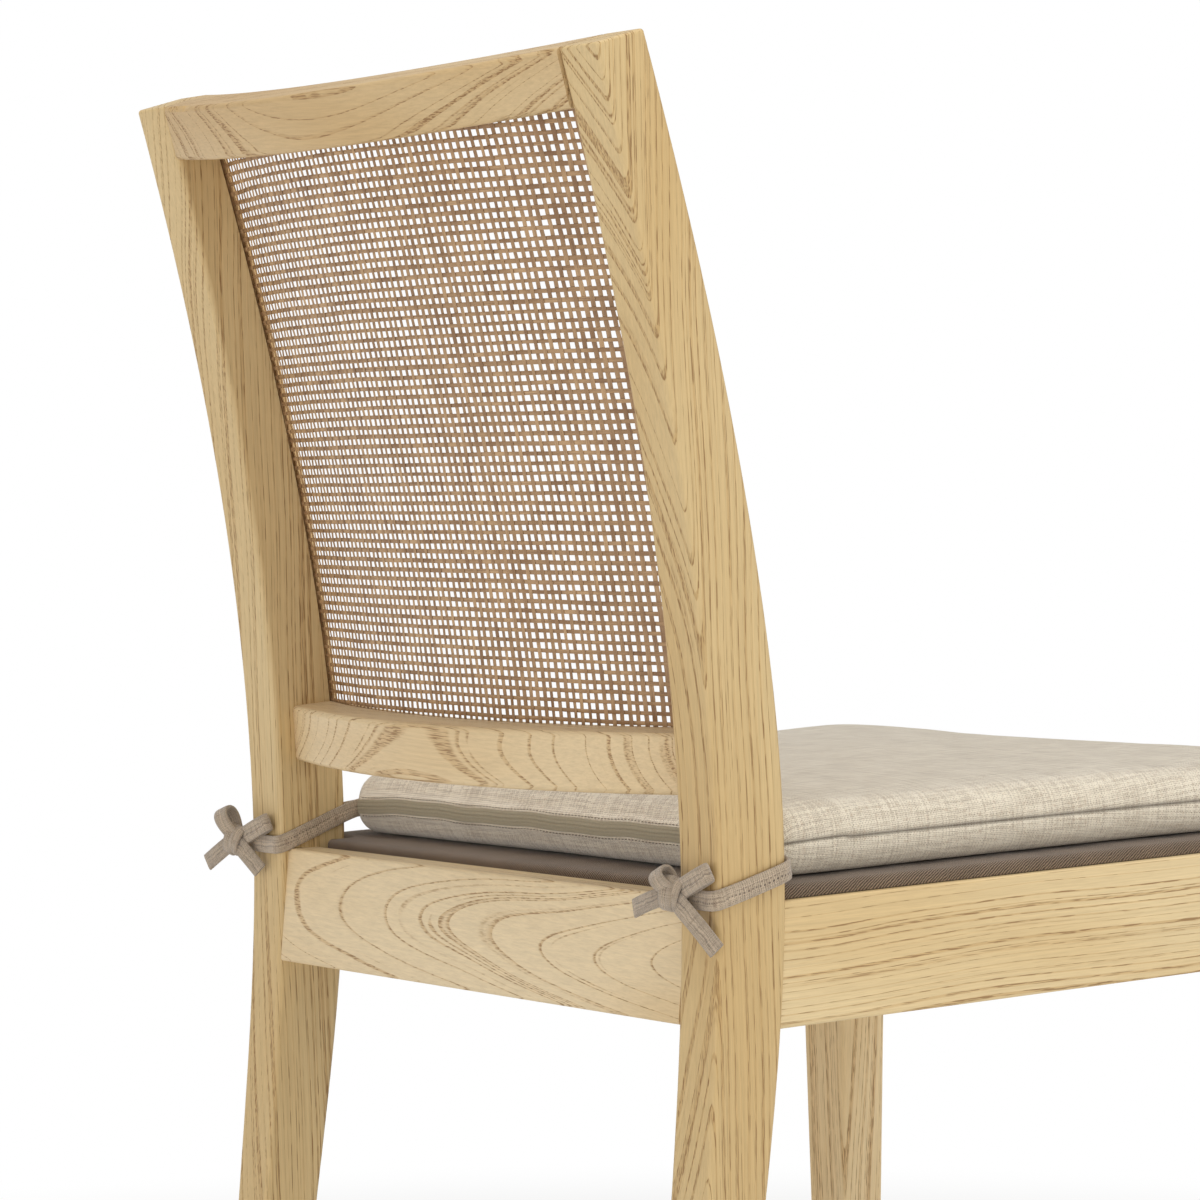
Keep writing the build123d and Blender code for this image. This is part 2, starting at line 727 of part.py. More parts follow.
pieces = {
    "back_post_left": back_post_left,
    "back_post_right": back_post_right,
    "crest_rail": crest_rail,
    "lower_back_rail": lower_back_rail,
    "cane_panel": cane_panel,
    "cane_bead_top": cane_bead_top,
    "cane_bead_bottom": cane_bead_bottom,
    "cane_bead_left": cane_bead_left,
    "cane_bead_right": cane_bead_right,
    "rear_seat_rail": rear_seat_rail,
    "front_seat_rail": front_seat_rail,
    "side_seat_rail_left": side_seat_rail_left,
    "side_seat_rail_right": side_seat_rail_right,
    "front_leg_left": front_leg_left,
    "front_leg_right": front_leg_right,
    "crest_dowels": crest_dowels,
    "lower_rail_dowels": lower_rail_dowels,
    "rear_rail_dowels": rear_rail_dowels,
    "front_rail_dowels": front_rail_dowels,
    "side_rail_dowels": side_rail_dowels,
    "corner_block_rear_left": corner_block_rear_left,
    "corner_block_rear_right": corner_block_rear_right,
    "corner_block_front_left": corner_block_front_left,
    "corner_block_front_right": corner_block_front_right,
    "corner_block_screws": corner_block_screws,
    "seat_screws": seat_screws,
    "seat_board": seat_board,
    "seat_foam": seat_foam,
    "seat_cover": seat_cover,
    "dust_cloth": dust_cloth,
    "cushion_foam": cushion_foam,
    "cushion_cover": cushion_cover,
    "zip_tape": zip_tape,
    "zip_slider": zip_slider,
    "zip_pull": zip_pull,
    "tie_band_left": tie_band_left,
    "tie_band_right": tie_band_right,
    "tie_bow_left": tie_bow_left,
    "tie_bow_right": tie_bow_right,
    "glides": glides,
    "glide_nails": glide_nails,
}

for name, piece in pieces.items():
    write(piece, name)

chair_box = Compound(children=[piece.part for piece in pieces.values()]).bounding_box()
print("chair box", chair_box.min, chair_box.max)
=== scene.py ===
import math
import bpy
import numpy as np
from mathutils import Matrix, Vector
from mathutils.kdtree import KDTree


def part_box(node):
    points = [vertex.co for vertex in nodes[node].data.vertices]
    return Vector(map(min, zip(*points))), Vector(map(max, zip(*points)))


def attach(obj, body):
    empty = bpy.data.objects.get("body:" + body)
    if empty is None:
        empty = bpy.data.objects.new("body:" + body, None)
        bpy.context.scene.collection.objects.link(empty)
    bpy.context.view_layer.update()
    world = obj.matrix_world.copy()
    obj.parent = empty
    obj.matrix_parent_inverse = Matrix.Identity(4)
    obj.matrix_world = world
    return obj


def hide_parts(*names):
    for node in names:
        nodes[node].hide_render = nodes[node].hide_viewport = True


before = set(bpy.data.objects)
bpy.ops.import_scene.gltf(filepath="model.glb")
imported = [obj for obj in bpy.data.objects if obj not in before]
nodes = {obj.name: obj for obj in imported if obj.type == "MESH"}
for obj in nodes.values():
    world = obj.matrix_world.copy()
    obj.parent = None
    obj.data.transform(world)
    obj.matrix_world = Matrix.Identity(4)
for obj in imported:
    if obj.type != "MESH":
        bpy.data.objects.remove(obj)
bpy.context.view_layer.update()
mm = 0.001

# Camera: a long lens at about the height of the chair's middle, behind its left side.
camera_data = bpy.data.cameras.new("camera")
camera_data.sensor_width = 36.0
camera_data.lens = 118.92
camera_data.clip_end = 200.0
camera = bpy.data.objects.new("camera", camera_data)
camera.location = (-1.79107, 1.50245, 0.6304)
camera.rotation_euler = (math.radians(90 - 1.3), 0.0, math.radians(-128.05))
bpy.context.scene.collection.objects.link(camera)
bpy.context.scene.camera = camera
bpy.context.scene.view_settings.view_transform = "Standard"


# Studio floor: pale matt board under the chair that runs out into white paper, so it has no edge.
def put(tree, kind, inputs=(), **settings):
    """One shader node. Inputs maps its sockets, by name or number, to values or to other sockets."""
    node = tree.nodes.new("ShaderNode" + kind)
    for key, value in settings.items():
        setattr(node, key, value)
    for key, value in dict(inputs).items():
        if isinstance(value, bpy.types.NodeSocket):
            tree.links.new(value, node.inputs[key])
        else:
            node.inputs[key].default_value = value
    return node


def calc(tree, operation, *values):
    """The answer of one Math node on these values, as a socket."""
    return put(tree, "Math", enumerate(values), operation=operation).outputs[0]


def vector(tree, operation, *values):
    """The answer of one Vector Math node on these values, as a socket."""
    node = put(tree, "VectorMath", enumerate(values), operation=operation)
    return node.outputs["Value" if operation in ("DOT_PRODUCT", "LENGTH") else "Vector"]


def mixed(tree, amount, first, second, blend="MIX"):
    """Two colours mixed by amount, as a socket."""
    inputs = {0: amount, 6: first, 7: second}
    return put(tree, "Mix", inputs, data_type="RGBA", blend_type=blend).outputs[2]


def step(tree, value, low, high):
    """A smooth step from 0 to 1 as value goes from low to high, as a socket."""
    inputs = {0: value, 1: low, 2: high}
    return put(tree, "MapRange", inputs, interpolation_type="SMOOTHSTEP").outputs[0]


def finish_of(name):
    """A new material, its node tree and its Principled shader."""
    material = bpy.data.materials.new(name)
    material.use_nodes = True
    return material, material.node_tree, material.node_tree.nodes["Principled BSDF"]


floor_reach = 40.0
board_radius = 0.75
paper_radius = 1.5
floor_mesh = bpy.data.meshes.new("floor")
floor_corners = [(x * floor_reach, y * floor_reach, 0) for x, y in ((-1, -1), (1, -1), (1, 1), (-1, 1))]
floor_mesh.from_pydata(floor_corners, [], [(0, 1, 2, 3)])
floor = bpy.data.objects.new("floor", floor_mesh)
bpy.context.scene.collection.objects.link(floor)
floor_paint, tree, shader = finish_of("floor_paint")
shader.inputs["Base Color"].default_value = (0.86, 0.86, 0.85, 1)
shader.inputs["Roughness"].default_value = 0.9
paper = put(tree, "Emission", {"Color": (1, 1, 1, 1), "Strength": 1.0})
from_middle = vector(tree, "LENGTH", put(tree, "TexCoord").outputs["Object"])
seam = put(tree, "MixShader", {0: step(tree, from_middle, board_radius, paper_radius)})
tree.links.new(shader.outputs[0], seam.inputs[1])
tree.links.new(paper.outputs[0], seam.inputs[2])
tree.links.new(seam.outputs[0], tree.nodes["Material Output"].inputs["Surface"])
floor_mesh.materials.append(floor_paint)

# Studio light: a white room, a wide softbox overhead and a warm and a cool fill.
room = bpy.data.worlds.new("room")
room.use_nodes = True
bpy.context.scene.world = room
tree = room.node_tree
wall = tree.nodes["Background"]
wall.inputs["Color"].default_value = (1.0, 1.0, 1.0, 1)
seen = put(tree, "LightPath").outputs["Is Camera Ray"]
tree.links.new(put(tree, "MapRange", {0: seen, 3: 0.52, 4: 1.0}).outputs[0], wall.inputs["Strength"])

lamps = [
    ("overhead", (-0.5, 0.3, 2.9), (0.0, 0.0, 0.5), 2.4, 35.0, (1.0, 0.985, 0.96)),
    ("side", (-2.6, -0.6, 0.8), (0.0, 0.0, 0.45), 1.4, 12.0, (1.0, 0.935, 0.81)),
    ("rear", (-0.6, 3.0, 0.45), (0.0, 0.0, 0.40), 1.6, 13.5, (1.0, 0.955, 0.96)),
]
for name, place, target, size, power, tint in lamps:
    lamp_data = bpy.data.lights.new(name, "AREA")
    lamp_data.shape = "DISK"
    lamp_data.size = size
    lamp_data.energy = power
    lamp_data.color = tint
    lamp = bpy.data.objects.new(name, lamp_data)
    lamp.location = place
    lamp.rotation_euler = (Vector(target) - Vector(place)).to_track_quat("-Z", "Y").to_euler()
    bpy.context.scene.collection.objects.link(lamp)


# Frame of ash: posts, legs, rails and beads, each sawn from its own board and clear lacquered.
# The figure is a solid one: growth rings about the heart of the tree, which each board has its own
# way, their early wood a band of open pores that are drawn out along the grain.
ash_pale = (0.79, 0.645, 0.42, 1)
ash_tan = (0.56, 0.365, 0.17, 1)
ash_warm = (0.70, 0.52, 0.285, 1)
ash_pore = (0.235, 0.115, 0.045, 1)


def board_place(tree, grain, heart):
    """Where a point is in its board: across, through and along the grain, from the heart line."""
    along = Vector(grain).normalized()
    across = along.cross(Vector((0.31, 0.83, 0.21))).normalized()
    through = along.cross(across)
    here = put(tree, "TexCoord").outputs["Object"]
    offset = vector(tree, "SUBTRACT", here, tuple(heart))
    parts = [vector(tree, "DOT_PRODUCT", offset, tuple(axis)) for axis in (across, through, along)]
    return put(tree, "CombineXYZ", enumerate(parts)).outputs[0]


def noise(tree, place, stretch, seed=0.0, detail=2.0, rough=0.5, output=0):
    """Noise on a stretched place: stretch gives the cells in one metre along each axis."""
    spot = put(tree, "VectorMath", {0: place, 1: stretch, 2: (seed, seed, seed)}, operation="MULTIPLY_ADD")
    inputs = {"Vector": spot.outputs[0], "Scale": 1.0, "Detail": detail, "Roughness": rough}
    return put(tree, "TexNoise", inputs).outputs[output]


def ash(name, grain, heart, ring_gap, seed, tone, wander=0.010):
    """Lacquered ash. Ring number = distance from the wandering heart line over the ring gap, plus noise;
    its fraction gives the band of early wood, and fine long noise in the band gives the pores. The tone
    multiplies the colour, because no two boards match; on the front legs it is also painted light, lifting
    them."""
    material, tree, shader = finish_of(name)
    place = board_place(tree, grain, heart)
    drift = vector(tree, "SUBTRACT", noise(tree, place, (7, 7, 2.6), seed, output=1), (0.5, 0.5, 0.5))
    drifted = put(tree, "VectorMath", {0: drift, 1: (2 * wander,) * 3, 2: place}, operation="MULTIPLY_ADD")
    radius = vector(tree, "LENGTH", vector(tree, "MULTIPLY", drifted.outputs[0], (1, 1, 0)))
    uneven = put(tree, "TexNoise", {"W": calc(tree, "MULTIPLY", radius, 90.0)}, noise_dimensions="1D")
    ripple = noise(tree, place, (60, 60, 9), seed + 3.1)
    number = calc(tree, "DIVIDE", radius, ring_gap)
    number = calc(tree, "ADD", number, calc(tree, "MULTIPLY", uneven.outputs[0], 1.6))
    number = calc(tree, "ADD", number, calc(tree, "MULTIPLY", ripple, 0.28))
    share = calc(tree, "FRACT", number)
    rise = step(tree, share, 0.0, 0.07)
    fall = step(tree, share, 0.34, 0.10)
    early = calc(tree, "MULTIPLY", rise, fall)
    pore_noise = noise(tree, place, (1500, 1500, 70), seed + 7.7, detail=1.0)
    pore = step(tree, pore_noise, 0.49, 0.60)
    faint = calc(tree, "MULTIPLY", pore, 0.09)
    pores = calc(tree, "MAXIMUM", calc(tree, "MULTIPLY", pore, early), faint)
    fibre = noise(tree, place, (700, 700, 11), seed + 1.3, detail=3.0)
    cloud = noise(tree, place, (9, 9, 2.2), seed + 5.9)
    ground = mixed(tree, step(tree, cloud, 0.35, 0.68), ash_pale, ash_warm)
    ringed = mixed(tree, calc(tree, "MULTIPLY", early, 0.58), ground, ash_tan)
    grey = calc(tree, "MULTIPLY_ADD", fibre, 0.30, 0.85)
    shade = put(tree, "CombineColor", {0: grey, 1: grey, 2: grey}).outputs[0]
    fibred = mixed(tree, 1.0, ringed, shade, "MULTIPLY")
    colour = mixed(tree, calc(tree, "MULTIPLY", pores, 0.68), fibred, ash_pore)
    toned = mixed(tree, 1.0, colour, (*tone, 1), "MULTIPLY")
    tree.links.new(toned, shader.inputs["Base Color"])
    tree.links.new(calc(tree, "MULTIPLY_ADD", pores, 0.25, 0.42), shader.inputs["Roughness"])
    shader.inputs["Specular IOR Level"].default_value = 0.35
    depth = calc(tree, "SUBTRACT", calc(tree, "MULTIPLY", fibre, 0.12), pores)
    relief = put(tree, "Bump", {"Height": depth, "Distance": 0.00025, "Strength": 0.6})
    tree.links.new(relief.outputs[0], shader.inputs["Normal"])
    return material


side_run = (0.049, 0.032)   # how far a side rail spreads and climbs in each unit forward
post_tone, crest_tone, rail_tone = (0.86, 0.79, 0.62), (0.82, 0.75, 0.63), (1.00, 0.99, 0.97)
# The front legs' tone is partly painted light: it lightens them above the other boards, standing in for
# light that reaches them under the seat.
side_tone, bead_tone, leg_tone_and_light = (1.0, 0.98, 0.88), (0.95, 0.88, 0.72), (1.12, 1.08, 0.98)
boards = [
    ("back_post_left", (0.01, 0.05, 1), (-0.150, 0.060, 0.40), 4.0, 11.3, post_tone),
    ("back_post_right", (-0.01, 0.05, 1), (0.120, 0.105, 0.40), 3.8, 4.2, post_tone),
    ("crest_rail", (1, 0.02, 0.05), (0.0, 0.205, 0.838), 3.6, 8.5, crest_tone),
    ("lower_back_rail", (1, -0.01, 0.03), (0.0, 0.128, 0.515), 3.4, 2.7, rail_tone),
    ("rear_seat_rail", (1, -0.10, 0.02), (0.0, 0.138, 0.393), 4.6, 6.4, rail_tone),
    ("front_seat_rail", (1, 0.06, -0.02), (0.0, -0.235, 0.40), 5.0, 1.9, rail_tone),
    ("side_seat_rail_left", (-side_run[0], -1, side_run[1]), (-0.150, -0.05, 0.475), 3.1, 9.6, side_tone),
    ("side_seat_rail_right", (side_run[0], -1, side_run[1]), (0.172, -0.05, 0.360), 4.1, 3.4, side_tone),
    ("front_leg_left", (-0.02, 0.01, 1), (-0.16, -0.27, 0.2), 4.8, 7.1, leg_tone_and_light),
    ("front_leg_right", (0.02, 0.01, 1), (0.155, -0.25, 0.2), 5.1, 0.8, leg_tone_and_light),
    ("cane_bead_top", (1, 0, 0), (0.0, 0.10, 0.80), 4.0, 5.5, bead_tone),
    ("cane_bead_bottom", (1, 0, 0), (0.0, 0.05, 0.45), 4.0, 2.2, bead_tone),
    ("cane_bead_left", (0, 0.1, 1), (-0.10, 0.10, 0.5), 4.0, 3.7, bead_tone),
    ("cane_bead_right", (0, 0.1, 1), (0.10, 0.10, 0.5), 4.0, 6.6, bead_tone),
]
for node, grain, heart, gap, seed, tone in boards:
    nodes[node].data.materials.clear()
    nodes[node].data.materials.append(ash("ash_" + node, grain, heart, gap * mm, seed, tone))


# Dowels and corner blocks of beech, plain and sanded, and the seat board of birch plywood.
def beech(name, grain):
    """Sanded beech: an even tan with short dark flecks along the grain."""
    material, tree, shader = finish_of(name)
    place = board_place(tree, grain, (0, 0, 0))
    fleck = step(tree, noise(tree, place, (900, 900, 210), 2.0, detail=1.0), 0.62, 0.70)
    streak = noise(tree, place, (120, 120, 8), 4.0)
    ground = mixed(tree, streak, (0.56, 0.37, 0.22, 1), (0.66, 0.46, 0.29, 1))
    colour = mixed(tree, calc(tree, "MULTIPLY", fleck, 0.7), ground, (0.36, 0.20, 0.10, 1))
    tree.links.new(colour, shader.inputs["Base Color"])
    shader.inputs["Roughness"].default_value = 0.62
    relief = put(tree, "Bump", {"Height": streak, "Distance": 0.0002, "Strength": 0.3})
    tree.links.new(relief.outputs[0], shader.inputs["Normal"])
    return material


beech_lengthways = beech("beech_lengthways", (0, 1, 0))
beech_crossways = beech("beech_crossways", (1, 0, 0))
beech_parts = {
    beech_crossways: ["crest_dowels", "lower_rail_dowels", "rear_rail_dowels", "front_rail_dowels"],
    beech_lengthways: ["side_rail_dowels"],
}
for end in ("front_", "rear_"):
    beech_parts[beech_crossways] += ["corner_block_" + end + side for side in ("left", "right")]
for material, members in beech_parts.items():
    for node in members:
        nodes[node].data.materials.clear()
        nodes[node].data.materials.append(material)

plywood, tree, shader = finish_of("plywood")
place = put(tree, "TexCoord").outputs["Object"]
level = vector(tree, "DOT_PRODUCT", place, (0, 0.032, 1))
layer = calc(tree, "PINGPONG", calc(tree, "MULTIPLY", level, 800.0), 1.0)
figure = noise(tree, place, (14, 90, 90), 1.0)
ground = mixed(tree, figure, (0.62, 0.46, 0.28, 1), (0.74, 0.58, 0.38, 1))
layered = calc(tree, "MULTIPLY", step(tree, layer, 0.45, 0.55), 0.35)
colour = mixed(tree, layered, ground, (0.42, 0.27, 0.14, 1))
tree.links.new(colour, shader.inputs["Base Color"])
shader.inputs["Roughness"].default_value = 0.6
nodes["seat_board"].data.materials.clear()
nodes["seat_board"].data.materials.append(plywood)

# Block and seat screws and glide nails, of zinc-plated steel, and glides of pressed felt.
zinc, tree, shader = finish_of("zinc")
place = put(tree, "TexCoord").outputs["Object"]
haze = noise(tree, place, (600, 600, 600), 3.0)
tree.links.new(mixed(tree, haze, (0.50, 0.51, 0.52, 1), (0.68, 0.68, 0.66, 1)), shader.inputs["Base Color"])
tree.links.new(calc(tree, "MULTIPLY_ADD", haze, 0.25, 0.25), shader.inputs["Roughness"])
shader.inputs["Metallic"].default_value = 1.0
for node in ("corner_block_screws", "seat_screws", "glide_nails"):
    nodes[node].data.materials.clear()
    nodes[node].data.materials.append(zinc)

felt, tree, shader = finish_of("felt")
place = put(tree, "TexCoord").outputs["Object"]
fluff = noise(tree, place, (900, 900, 900), 1.0, detail=4.0)
colour = mixed(tree, fluff, (0.035, 0.03, 0.026, 1), (0.10, 0.09, 0.08, 1))
tree.links.new(colour, shader.inputs["Base Color"])
shader.inputs["Roughness"].default_value = 0.97
relief = put(tree, "Bump", {"Height": fluff, "Distance": 0.0006, "Strength": 0.8})
tree.links.new(relief.outputs[0], shader.inputs["Normal"])
nodes["glides"].data.materials.clear()
nodes["glides"].data.materials.append(felt)


# Cane: flat rattan strands woven one over, one under, open mesh, bowed with the rails and tucked
# into the rebate on all four sides. The lengthways strands are wider and flatter than the upright ones.
def skin(name, shapes, lengths=None, girths=None, sharp=50.0):
    """Closed tubes as one mesh: shapes[k, i, j] is point j of ring i of tube k. Each ring closes on
    itself and the end rings are filled; all faces are turned to the side that makes the enclosed
    volume positive. The UV map takes lengths along the rings and girths round them, in metres."""
    count, rings, points, _ = shapes.shape
    i, j = (a.ravel() for a in np.mgrid[0:rings - 1, 0:points])
    k = (j + 1) % points
    quads = np.stack([i * points + j, i * points + k, (i + 1) * points + k, (i + 1) * points + j], -1)
    first = shapes[0].reshape(-1, 3)
    first = first - first.mean(0)
    a, b, c, d = (first[quads[:, n]] for n in range(4))
    volume = (a * np.cross(b, c)).sum() + (a * np.cross(c, d)).sum()
    caps = np.stack([np.arange(points)[::-1], np.arange(points) + (rings - 1) * points])
    for cap in caps:
        volume += (first[cap[0]] * np.cross(first[cap[1:-1]], first[cap[2:]])).sum()
    turn = slice(None, None, 1 if volume > 0 else -1)
    quads = quads[:, turn]
    caps = caps[:, turn]
    shift = (np.arange(count) * rings * points)[:, None, None]
    faces = (shift + quads).reshape(-1, 4).tolist() + (shift + caps).reshape(-1, points).tolist()
    mesh = bpy.data.meshes.new(name)
    mesh.from_pydata(shapes.reshape(-1, 3), [], faces)
    if lengths is not None:
        along = np.stack([lengths[i], lengths[i], lengths[i + 1], lengths[i + 1]], -1)[:, turn]
        around = np.stack([girths[j], girths[j + 1], girths[j + 1], girths[j]], -1)[:, turn]
        start = 0.377 * np.arange(count)[:, None, None]
        around = np.broadcast_to(around, (count,) + around.shape)
        map_points = np.stack([start + along, around], -1).reshape(-1, 2)
        ends = np.zeros((count * 2 * points, 2))
        layer = mesh.uv_layers.new(name="weave")
        layer.data.foreach_set("uv", np.concatenate([map_points, ends]).ravel().astype(np.float32))
    mesh.polygons.foreach_set("use_smooth", np.ones(len(faces), bool))
    mesh.set_sharp_from_angle(angle=math.radians(sharp))
    mesh.validate()
    piece = bpy.data.objects.new(name, mesh)
    bpy.context.scene.collection.objects.link(piece)
    return piece


row_gap = 5.35 * mm
strand_gap = 5.5 * mm
row_width = 2.25 * mm
strand_width = 2.80 * mm
cane_thick = 0.55 * mm
weave_lift = 0.42 * mm      # how far a strand swings to each side as it passes over and under
strand_lean = 0.50 * mm     # the upright strands lean by turns to the left and the right
post_inner = 0.188
back_bow = 0.032
# Side view of the posts' front line, from which the cane takes its sweep: heights and places back.
back_heights = np.array([0.480, 0.513, 0.600, 0.729, 0.8748])
back_depths = 0.1973 + np.array([-0.0468, -0.044, -0.030, 0.001, 0.0465])
back_curve = np.polyfit(back_heights, back_depths, 4)


def cane_surface(x, z, out):
    """The bowed panel: y is the posts' front line at that height, plus the bow, a circular arc over the
    opening's width, plus the depth in the rebate. Out is the distance behind the panel's middle."""
    reach = np.clip(np.abs(x), 0, post_inner)
    arc = (post_inner ** 2 + back_bow ** 2) / (2 * back_bow)
    bow = np.sqrt(arc ** 2 - reach ** 2) - (arc - back_bow)
    slope = np.polyval(np.polyder(back_curve), z)
    lean = np.sqrt(1 + slope ** 2)
    y = np.polyval(back_curve, z) + bow * lean + (4.6 * mm + out) * lean
    return np.stack([x, y, np.broadcast_to(z, y.shape)], -1)


def strand_rings(width, thick):
    """One strand's section, a flattened hexagon, as offsets across and out."""
    across = np.array([-0.5, -0.22, 0.22, 0.5, 0.22, -0.22]) * width
    out = np.array([0.0, 0.5, 0.5, 0.0, -0.5, -0.5]) * thick
    return across, out


rng = np.random.default_rng(7)
cane_half = post_inner + 5 * mm
cane_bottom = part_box("cane_panel")[0][2] + 1 * mm
cane_top = 0.8748 - 0.034
rows = int((cane_top - cane_bottom) / row_gap)
strands = int(2 * cane_half / strand_gap)
row_heights = cane_bottom + (np.arange(rows) + 0.5) * (cane_top - cane_bottom) / rows
strand_places = -cane_half + (np.arange(strands) + 0.5) * 2 * cane_half / strands

# Rows: out = lift times cosine of the strand count, its sign changing from row to row.
steps = 2 * strands + 1
x = np.linspace(-cane_half, cane_half, steps)[None, :, None]
across, out = strand_rings(row_width, cane_thick)
count = (x + cane_half) / (2 * cane_half) * strands - 0.5
sign = np.where(np.arange(rows) % 2 == 0, 1.0, -1.0)[:, None, None]
swing = weave_lift * sign * np.cos(math.pi * count)
sway = np.repeat(rng.normal(0, 0.16 * mm, (rows, steps // 8 + 2)), 8, axis=1)[:, :steps]
kernel = np.hanning(15) / np.hanning(15).sum()
sway = np.apply_along_axis(lambda line: np.convolve(line, kernel, mode="same"), 1, sway)[:, :, None]
broad = 1 + rng.normal(0, 0.09, (rows, 1, 1))
z = row_heights[:, None, None] + sway + across[None, None, :] * broad
x3 = np.broadcast_to(x, z.shape)
row_shapes = cane_surface(x3, z, swing + out[None, None, :])
row_lengths = np.linspace(0, 2 * cane_half, steps)
girths = np.linspace(0, 2 * row_width, 7)
cane_rows = skin("cane_rows", row_shapes, row_lengths, girths)

# Upright strands: the same swing with the other sign, and a lean that swaps at each row.
steps = 2 * rows + 1
z = np.linspace(cane_bottom, cane_top, steps)[None, :, None]
across, out = strand_rings(strand_width, cane_thick * 1.15)
count = (z - cane_bottom) / (cane_top - cane_bottom) * rows - 0.5
sign = np.where(np.arange(strands) % 2 == 0, 1.0, -1.0)[:, None, None]
swing = -weave_lift * sign * np.cos(math.pi * count)
lean = strand_lean * sign * np.cos(math.pi * count)
sway = np.repeat(rng.normal(0, 0.30 * mm, (strands, steps // 8 + 2)), 8, axis=1)[:, :steps]
sway = np.apply_along_axis(lambda line: np.convolve(line, kernel, mode="same"), 1, sway)[:, :, None]
broad = 1 + rng.normal(0, 0.10, (strands, 1, 1))
x = strand_places[:, None, None] + lean + sway + across[None, None, :] * broad
z3 = np.broadcast_to(z, x.shape)
strand_shapes = cane_surface(x, z3, swing + out[None, None, :])
strand_lengths = np.linspace(0, cane_top - cane_bottom, steps)
cane_strands = skin("cane_strands", strand_shapes, strand_lengths, np.linspace(0, 2 * strand_width, 7))

rattan, tree, shader = finish_of("rattan")
woven = put(tree, "UVMap", uv_map="weave").outputs[0]
streak = noise(tree, woven, (18, 2600, 1), 1.0, detail=3.0)
patch = noise(tree, woven, (34, 40, 1), 6.0, detail=2.0)
ground = mixed(tree, step(tree, patch, 0.32, 0.70), (0.275, 0.150, 0.068, 1), (0.56, 0.36, 0.185, 1))
streaked = calc(tree, "MULTIPLY", step(tree, streak, 0.52, 0.70), 0.55)
colour = mixed(tree, streaked, ground, (0.15, 0.068, 0.032, 1))
tree.links.new(colour, shader.inputs["Base Color"])
shader.inputs["Roughness"].default_value = 0.5
relief = put(tree, "Bump", {"Height": streak, "Distance": 0.00015, "Strength": 0.5})
tree.links.new(relief.outputs[0], shader.inputs["Normal"])
for piece in (cane_rows, cane_strands):
    piece.data.materials.append(rattan)
    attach(piece, "chair")
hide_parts("cane_panel")

# Dust cover: black non-woven cloth under the seat board, stretched and stapled to it along its hems.
seat_pivot = np.array([0.0, 0.1493, 0.4257])    # on the seat's slope, level with the posts' fronts
seat_climb = 0.032                              # the seat climbs this much for each unit forward
seat_lean = math.atan(seat_climb)
seat_back = np.array([0.0, math.cos(seat_lean), -math.sin(seat_lean)])
seat_up = np.array([0.0, math.sin(seat_lean), math.cos(seat_lean)])


def on_seat(x, back, up):
    """A place by the seat: x across, back along its slope from the posts' fronts, up square to it."""
    x, back, up = np.broadcast_arrays(x, back, up)
    across = np.array([1.0, 0.0, 0.0])
    return seat_pivot + x[..., None] * across + back[..., None] * seat_back + up[..., None] * seat_up


def lay_map(piece, flat):
    """Gives the piece a UV map, in metres of cloth, from one flat place for each of its vertices."""
    mesh = piece.data
    index = np.zeros(len(mesh.loops), np.int32)
    mesh.loops.foreach_get("vertex_index", index)
    layer = mesh.uv_layers.get("weave") or mesh.uv_layers.new(name="weave")
    layer.data.foreach_set("uv", flat.reshape(-1, 2)[index].ravel().astype(np.float32))


dust_rear_half, dust_front_half = 0.178, 0.184
dust_rear, dust_front = 0.008, -0.422
dust_drop = 1.2 * mm
across = np.linspace(-1, 1, 41)[None, :]
back = np.linspace(dust_front, dust_rear, 41)[:, None]
share = (back - dust_front) / (dust_rear - dust_front)
x = across * (dust_front_half + (dust_rear_half - dust_front_half) * share)
sag = dust_drop * (1 - across ** 2) * 4 * share * (1 - share)
top = on_seat(x, back, -0.25 * mm - sag)
under = on_seat(x, back, -0.65 * mm - sag)
# The sheet is a flat tube: each ring goes out along the top and comes back along the underside.
dust_rings = np.concatenate([top, under[:, ::-1]], axis=1)[None]
dust_cover = skin("dust_cover", dust_rings)
lay_map(dust_cover, dust_rings[0, :, :, :2])
dust_paint, tree, shader = finish_of("dust_paint")
place = put(tree, "TexCoord").outputs["Object"]
press = put(tree, "TexVoronoi", {"Vector": place, "Scale": 420.0}).outputs["Distance"]
hair = noise(tree, place, (800, 800, 800), 2.0, detail=4.0)
colour = mixed(tree, hair, (0.012, 0.012, 0.013, 1), (0.045, 0.045, 0.047, 1))
tree.links.new(colour, shader.inputs["Base Color"])
shader.inputs["Roughness"].default_value = 0.92
relief = put(tree, "Bump", {"Height": press, "Distance": 0.0006, "Strength": 0.7})
tree.links.new(relief.outputs[0], shader.inputs["Normal"])
dust_cover.data.materials.append(dust_paint)
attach(dust_cover, "chair")
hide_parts("dust_cloth")


